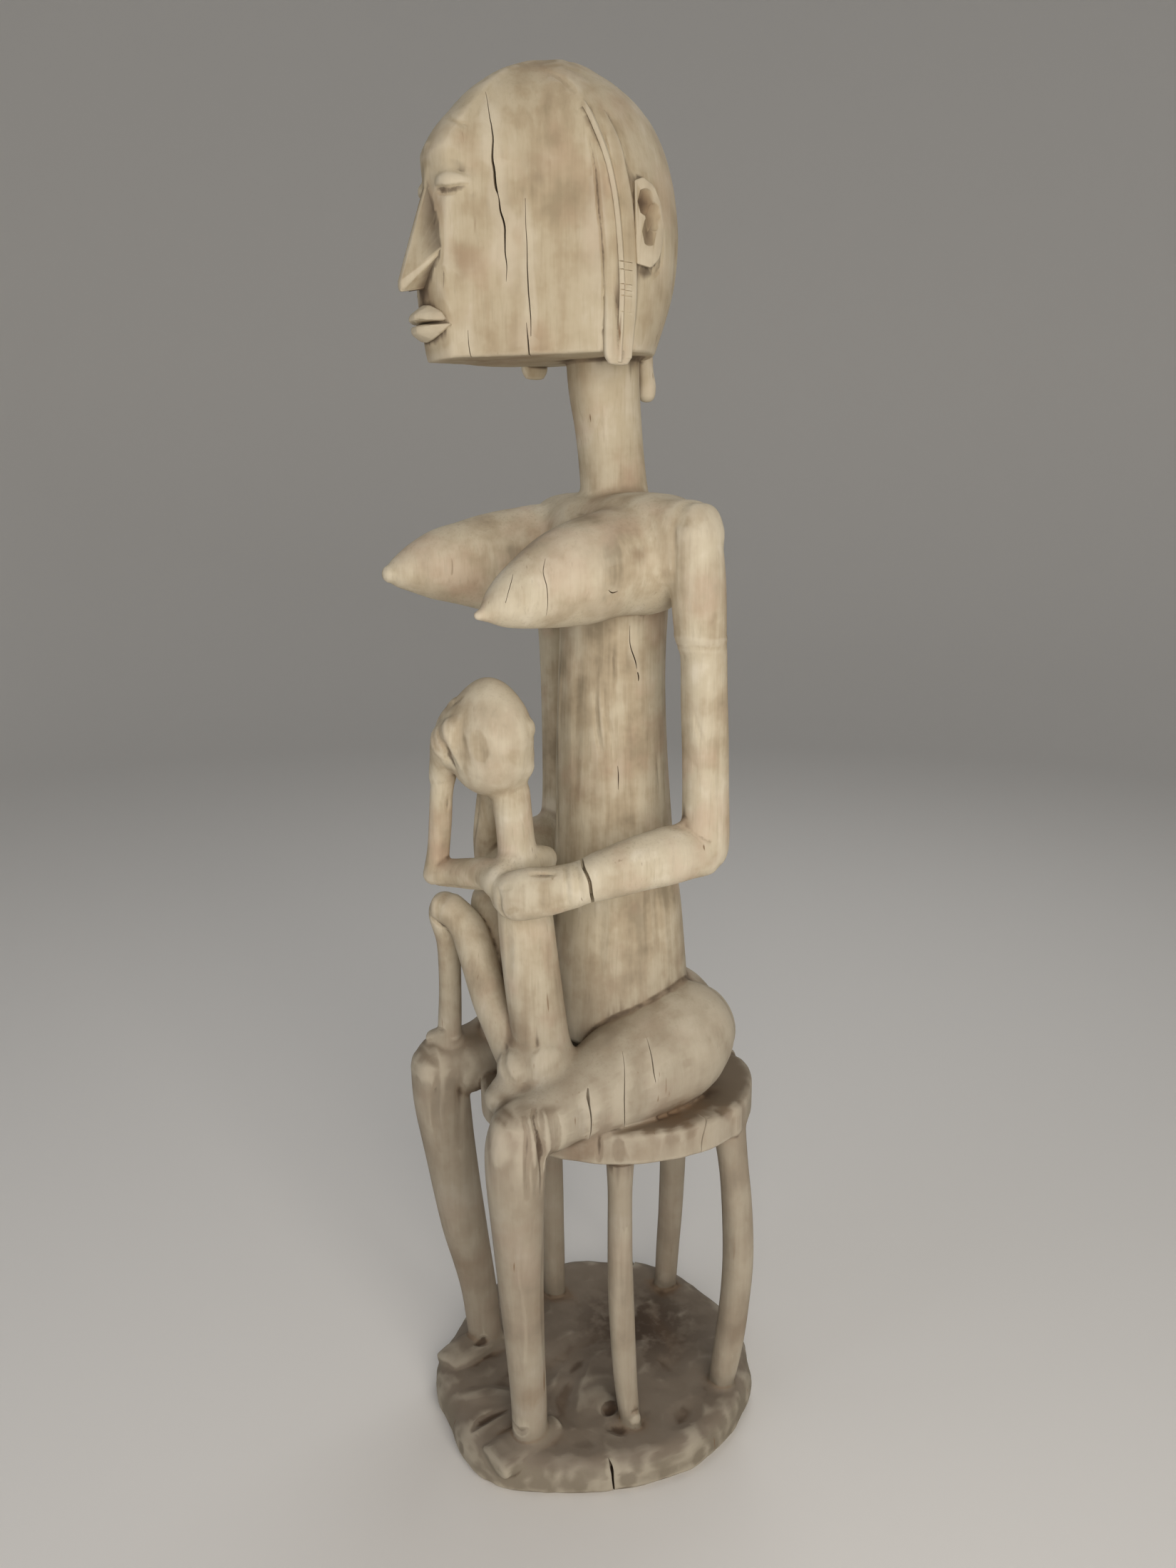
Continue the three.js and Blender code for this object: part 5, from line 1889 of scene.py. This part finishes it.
@dataclass(frozen=True)
class WeatheredHardwood:
    """Old African hardwood, cut with a knife, bare and bleached by sun and rain.

    To the eye it is dry and matt: a soft, blotchy pale tan with faint silvery streaks up the log,
    fine dark checks here and there, and plainer on its end grain. Painted shade, with some dirt,
    browns its cracks, folds and hollows and the places that the carving hides from the open air.
    It is greyer and darker towards the ground: painted shade where the light falls off low down,
    with grey weathering and dirt. The seat's top carries a painted shadow of the thigh with some
    dirt, and the base's top is painted a shade darker than its rim.
    """

    dull: str = "968972"
    tan: str = "B2A38A"
    pale: str = "C6BBA3"
    bleached: str = "D6CDB9"
    pink: str = "BE9F8A"
    # Grey weathering, and painted shade for the light that falls off low down.
    grey_and_falloff_shade: str = "8A8073"
    # Dark soil near the ground, and painted deep shade in hollows and closed-in places.
    soil_and_deep_shade: str = "43352A"
    # Brown of stains and checks, and painted shade in folds and closed-in places.
    stain_and_shade_brown: str = "7A6148"
    # The seat's top: painted shadow of the thigh and buttock, with some dirt.
    seat_shadow_and_dirt: str = "7B6D5B"
    head_tan: str = "A39273"
    # The base's top is a little darker than its rim: painted shade for light that grazes the top.
    shaded_base_top: str = "7C7062"
    base_rim: str = "7E7565"
    blotch_width: float = 34.0
    mottle_width: float = 9.0
    streak_width: float = 2.6
    check_width: float = 1.4
    grain_width: float = 0.9
    pore_width: float = 0.7
    blush_width: float = 16.0
    smear_width: float = 6.0
    stretch: float = 15.0
    relief: float = 0.0004
    relief_strength: float = 0.5
    shine: float = 0.25

    def make(self) -> bpy.types.Material:
        """Builds the material.

        Returns:
            The wood's material.
        """
        bench = Bench("weathered_hardwood")
        spot = bench.add("ShaderNodeTexCoord").outputs["Object"]
        lie = {"Vector": spot, "Scale": (1.0, 1.0, 1 / self.stretch)}
        log_line = bench.add("ShaderNodeMapping", lie).outputs[0]

        def noise(width: float, vector: Socket, detail: float = 3.0, rough: float = 0.55) -> Socket:
            """Returns noise whose patches are about width millimetres wide.

            Args:
                width: the patches' width in millimetres.
                vector: the place that it is read at.
                detail: how many finer layers it has.
                rough: how strong the finer layers are.

            Returns:
                The noise, from 0 to 1.
            """
            made = bench.add(
                "ShaderNodeTexNoise",
                {"Vector": vector, "Scale": 0.5 / (width * MM), "Detail": detail, "Roughness": rough},
            )
            return made.outputs["Fac"]

        def span(value: Socket, low: float, high: float, bottom: float = 0.0, top: float = 1.0) -> Socket:
            """Returns a value spread from low and high onto bottom and top.

            Args:
                value: the value.
                low: what gives bottom.
                high: what gives top.
                bottom: the first end of the new range.
                top: the second end of the new range.

            Returns:
                The spread value.
            """
            made = bench.add(
                "ShaderNodeMapRange",
                {"Value": value, "From Min": low, "From Max": high, "To Min": bottom, "To Max": top},
                interpolation_type="SMOOTHSTEP",
            )
            return made.outputs["Result"]

        def blend(share: Socket, under: object, over: object) -> Socket:
            """Returns one colour laid over another by a share."""
            return bench.add("ShaderNodeMix", {0: share, 6: under, 7: over}, data_type="RGBA").outputs[2]

        def sums(kind: str, one: object, two: object) -> Socket:
            """Returns what a plain sum makes of two values."""
            return bench.add("ShaderNodeMath", {0: one, 1: two}, operation=kind).outputs[0]

        def times(one: Socket, two: object) -> Socket:
            """Returns a product."""
            return sums("MULTIPLY", one, two)

        def attribute(name: str) -> Socket:
            """Returns a value stored on the piece."""
            return bench.add("ShaderNodeAttribute", attribute_name=name).outputs["Fac"]

        broad = noise(self.blotch_width, spot, 2.0)
        mottle = noise(self.mottle_width, spot)
        streaks = noise(self.streak_width, log_line, 4.0, 0.6)
        grain = noise(self.grain_width, log_line, 3.0, 0.6)
        pores = noise(self.pore_width, spot, 2.0)
        blush = noise(self.blush_width, spot)
        height = bench.add("ShaderNodeSeparateXYZ", {0: spot}).outputs["Z"]
        hollow, fold, sheltered = attribute("hollow"), attribute("fold"), attribute("sheltered")
        end, stain = attribute("endgrain"), attribute("stain")
        side = sums("SUBTRACT", 1.0, end)

        streak_share = bench.add("ShaderNodeMix", {0: end, 2: streaks, 3: 0.5}, data_type="FLOAT").outputs[0]
        tone = sums("ADD", times(broad, 0.42), times(mottle, 0.36))
        tone = sums("ADD", tone, times(streak_share, 0.22))
        colour = blend(span(tone, 0.36, 0.46), linear(self.dull), linear(self.tan))
        # The base's top takes a slightly darker colour than its rim: painted shade for light that grazes the
        # top. The grey mottle over both is the wood's own.
        ground = blend(end, linear(self.base_rim), linear(self.shaded_base_top))
        ground = blend(span(mottle, 0.35, 0.65, 0.0, 0.35), ground, linear(self.grey_and_falloff_shade))
        smudge = blend(span(height, 0.04, 0.025), linear(self.stain_and_shade_brown), linear(self.soil_and_deep_shade))
        seat = times(span(height, 0.2315, 0.2275), span(height, 0.186, 0.189))
        check = times(span(noise(self.check_width, log_line, 1.0), 0.27, 0.2), span(broad, 0.44, 0.56))
        smear = times(stain, span(noise(self.smear_width, spot), 0.34, 0.56, 0.35, 1.0))
        # Heights are metres above the floor. Each layer lies over the ones before it.
        layers = [
            (span(tone, 0.44, 0.54), linear(self.pale)),
            (span(tone, 0.53, 0.63), linear(self.bleached)),
            (span(blush, 0.48, 0.7, 0.0, 0.34), linear(self.pink)),
            (times(span(grain, 0.47, 0.3, 0.0, 0.22), side), linear(self.dull)),
            (times(span(pores, 0.5, 0.3, 0.0, 0.3), end), linear(self.dull)),
            (span(height, 0.53, 0.6, 0.0, 0.34), linear(self.head_tan)),
            # Below the waist the colour greys and darkens downwards: painted shade for the light falling off
            # low down, with some grey weathering.
            (span(height, 0.34, 0.2, 0.0, 0.66), linear(self.grey_and_falloff_shade)),
            # The seat's top: painted shadow of the thigh and buttock, with some dirt.
            (times(seat, end), linear(self.seat_shadow_and_dirt)),
            # The base takes its own darker, greyer colours: partly dirt and partly painted shade for the
            # light falling off near the ground.
            (span(height, 0.034, 0.02, 0.0, 0.9), ground),
            (times(check, side), linear(self.stain_and_shade_brown)),
            (smear, smudge),
            # Broad folds and inner corners are browned: painted shade, with some dirt.
            (span(fold, 0.12, 0.8, 0.0, 0.5), linear(self.stain_and_shade_brown)),
            # Places that the carving hides from the open air are browned and then darkened: painted shade,
            # with some dirt deepest in.
            (span(sheltered, 0.5, 0.8, 0.0, 0.5), linear(self.stain_and_shade_brown)),
            (span(sheltered, 0.64, 0.95, 0.0, 0.8), linear(self.soil_and_deep_shade)),
            # Fine hollows and cracks are darkened with painted shade and the dirt in them; the worn ridges
            # after them are lighter from wear.
            (span(hollow, 0.22, 0.95, 0.0, 0.75), linear(self.soil_and_deep_shade)),
            (span(hollow, -0.2, -0.9, 0.0, 0.35), linear(self.bleached)),
        ]
        for share, shade in layers:
            colour = blend(share, colour, shade)

        # Streaks and grain stand up on the side faces only, and pores everywhere.
        relief = sums("ADD", times(times(streaks, side), 0.7), times(times(grain, side), 0.5))
        relief = sums("ADD", relief, times(pores, 0.3))
        bumps = {"Height": relief, "Strength": self.relief_strength, "Distance": self.relief}
        shader = bench.add("ShaderNodeBsdfPrincipled", {
            "Base Color": colour,
            "Roughness": span(tone, 0.36, 0.62, 0.76, 0.88),
            "Normal": bench.add("ShaderNodeBump", bumps).outputs[0],
            "Specular IOR Level": self.shine,
        })
        bench.add("ShaderNodeOutputMaterial", {"Surface": shader.outputs[0]})
        return bench.material


@dataclass(frozen=True)
class StudioFloor:
    """A pale, matt paper floor that curves up far away."""

    paper: str = "EFEDE9"
    radius: float = 3.0
    curve: float = 0.9
    height: float = 2.4
    roughness: float = 0.9
    curve_steps: int = 8
    steps: int = 96

    def build(self) -> None:
        """Makes the floor and keeps it out of the part."""
        line = [(0.0, 0.0), (self.radius - self.curve, 0.0)]
        for angle in quarter(self.curve_steps, first=1):
            out = self.radius - self.curve * (1 - math.sin(angle))
            line.append((out, self.curve * (1 - math.cos(angle))))
        body = spun([*line, (self.radius, self.height)], self.steps)
        bmesh.ops.recalc_face_normals(body, faces=body.faces[:])
        bmesh.ops.reverse_faces(body, faces=body.faces[:])
        floor = new_piece("studio_floor", body)
        floor.data.shade_smooth()
        bench = Bench("matt_paper")
        paper = {"Base Color": linear(self.paper), "Roughness": self.roughness}
        shader = bench.add("ShaderNodeBsdfPrincipled", paper)
        bench.add("ShaderNodeOutputMaterial", {"Surface": shader.outputs[0]})
        floor.data.materials.append(bench.material)


@dataclass(frozen=True)
class SoftLight:
    """A square soft box that looks at a point."""

    name: str
    place: Station
    size: float
    watts: float
    colour: str = "FFFFFF"
    target: Station = (0.0, 0.0, 0.42)

    def build(self) -> None:
        """Makes the light and turns it to its target."""
        data = bpy.data.lights.new(self.name, "AREA")
        data.size = self.size
        data.energy = self.watts
        data.color = linear(self.colour)[:3]
        lamp = in_scene(self.name, data)
        lamp.location = self.place
        aim = Vector(self.target) - Vector(self.place)
        lamp.rotation_euler = aim.to_track_quat("-Z", "Y").to_euler()


@dataclass(frozen=True)
class Studio:
    """The photo's camera, a plain pale floor and soft light from the right of the camera."""

    camera_place: Station = (0.5921, -0.3418, 0.5377)
    tilt_down: float = 12.84
    turn: float = 60.264
    focal_pixels: float = 1755.0
    frame_height: float = 2200.0
    sensor: float = 36.0
    world_light: float = 0.2
    world_colour: str = "EDEEF0"
    lights: tuple[SoftLight, ...] = (
        SoftLight("key", (1.16, -0.36, 0.66), 0.85, 12.2, "FFF8F0"),
        SoftLight("fill", (0.0, -1.4, 0.8), 1.0, 2.4, "F4F6FF"),
        SoftLight("back", (-0.6, 0.7, 1.5), 0.9, 4.0),
    )

    def build(self) -> None:
        """Makes the camera, the lights, the world and the floor."""
        data = bpy.data.cameras.new("camera")
        data.sensor_width = self.sensor
        data.lens = self.focal_pixels * self.sensor / self.frame_height
        camera = in_scene("camera", data)
        camera.location = self.camera_place
        camera.rotation_euler = (math.radians(90 - self.tilt_down), 0.0, math.radians(self.turn))
        bpy.context.scene.camera = camera
        for light in self.lights:
            light.build()
        world = bpy.data.worlds.new("soft_daylight")
        world.use_nodes = True
        background = world.node_tree.nodes["Background"]
        background.inputs["Color"].default_value = linear(self.world_colour)
        background.inputs["Strength"].default_value = self.world_light
        bpy.context.scene.world = world
        bpy.context.scene.view_settings.view_transform = "Standard"
        StudioFloor().build()


def main() -> None:
    """Builds the studio, then the carving with its parts in order, and reports each."""
    logging.basicConfig(level=logging.INFO, format="%(relativeCreated)7.0f ms  %(message)s")
    Studio().build()
    arms = MotherArms()
    parts = [Base(), Stool(), MotherLegs(), MotherTrunk(), arms, MotherHead(), Child()]
    for part in parts:
        log.info("%s: %d marks, %d cracks", type(part).__name__, len(part.marks), len(part.cracks))
    piece = Carving(parts, arms).build()
    piece.data.materials.clear()
    piece.data.materials.append(WeatheredHardwood().make())
    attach(piece, BODY)
    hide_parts(NODE)
    log.info("%s: %d triangles", piece.name, len(piece.data.polygons))


if __name__ == "__main__":
    main()
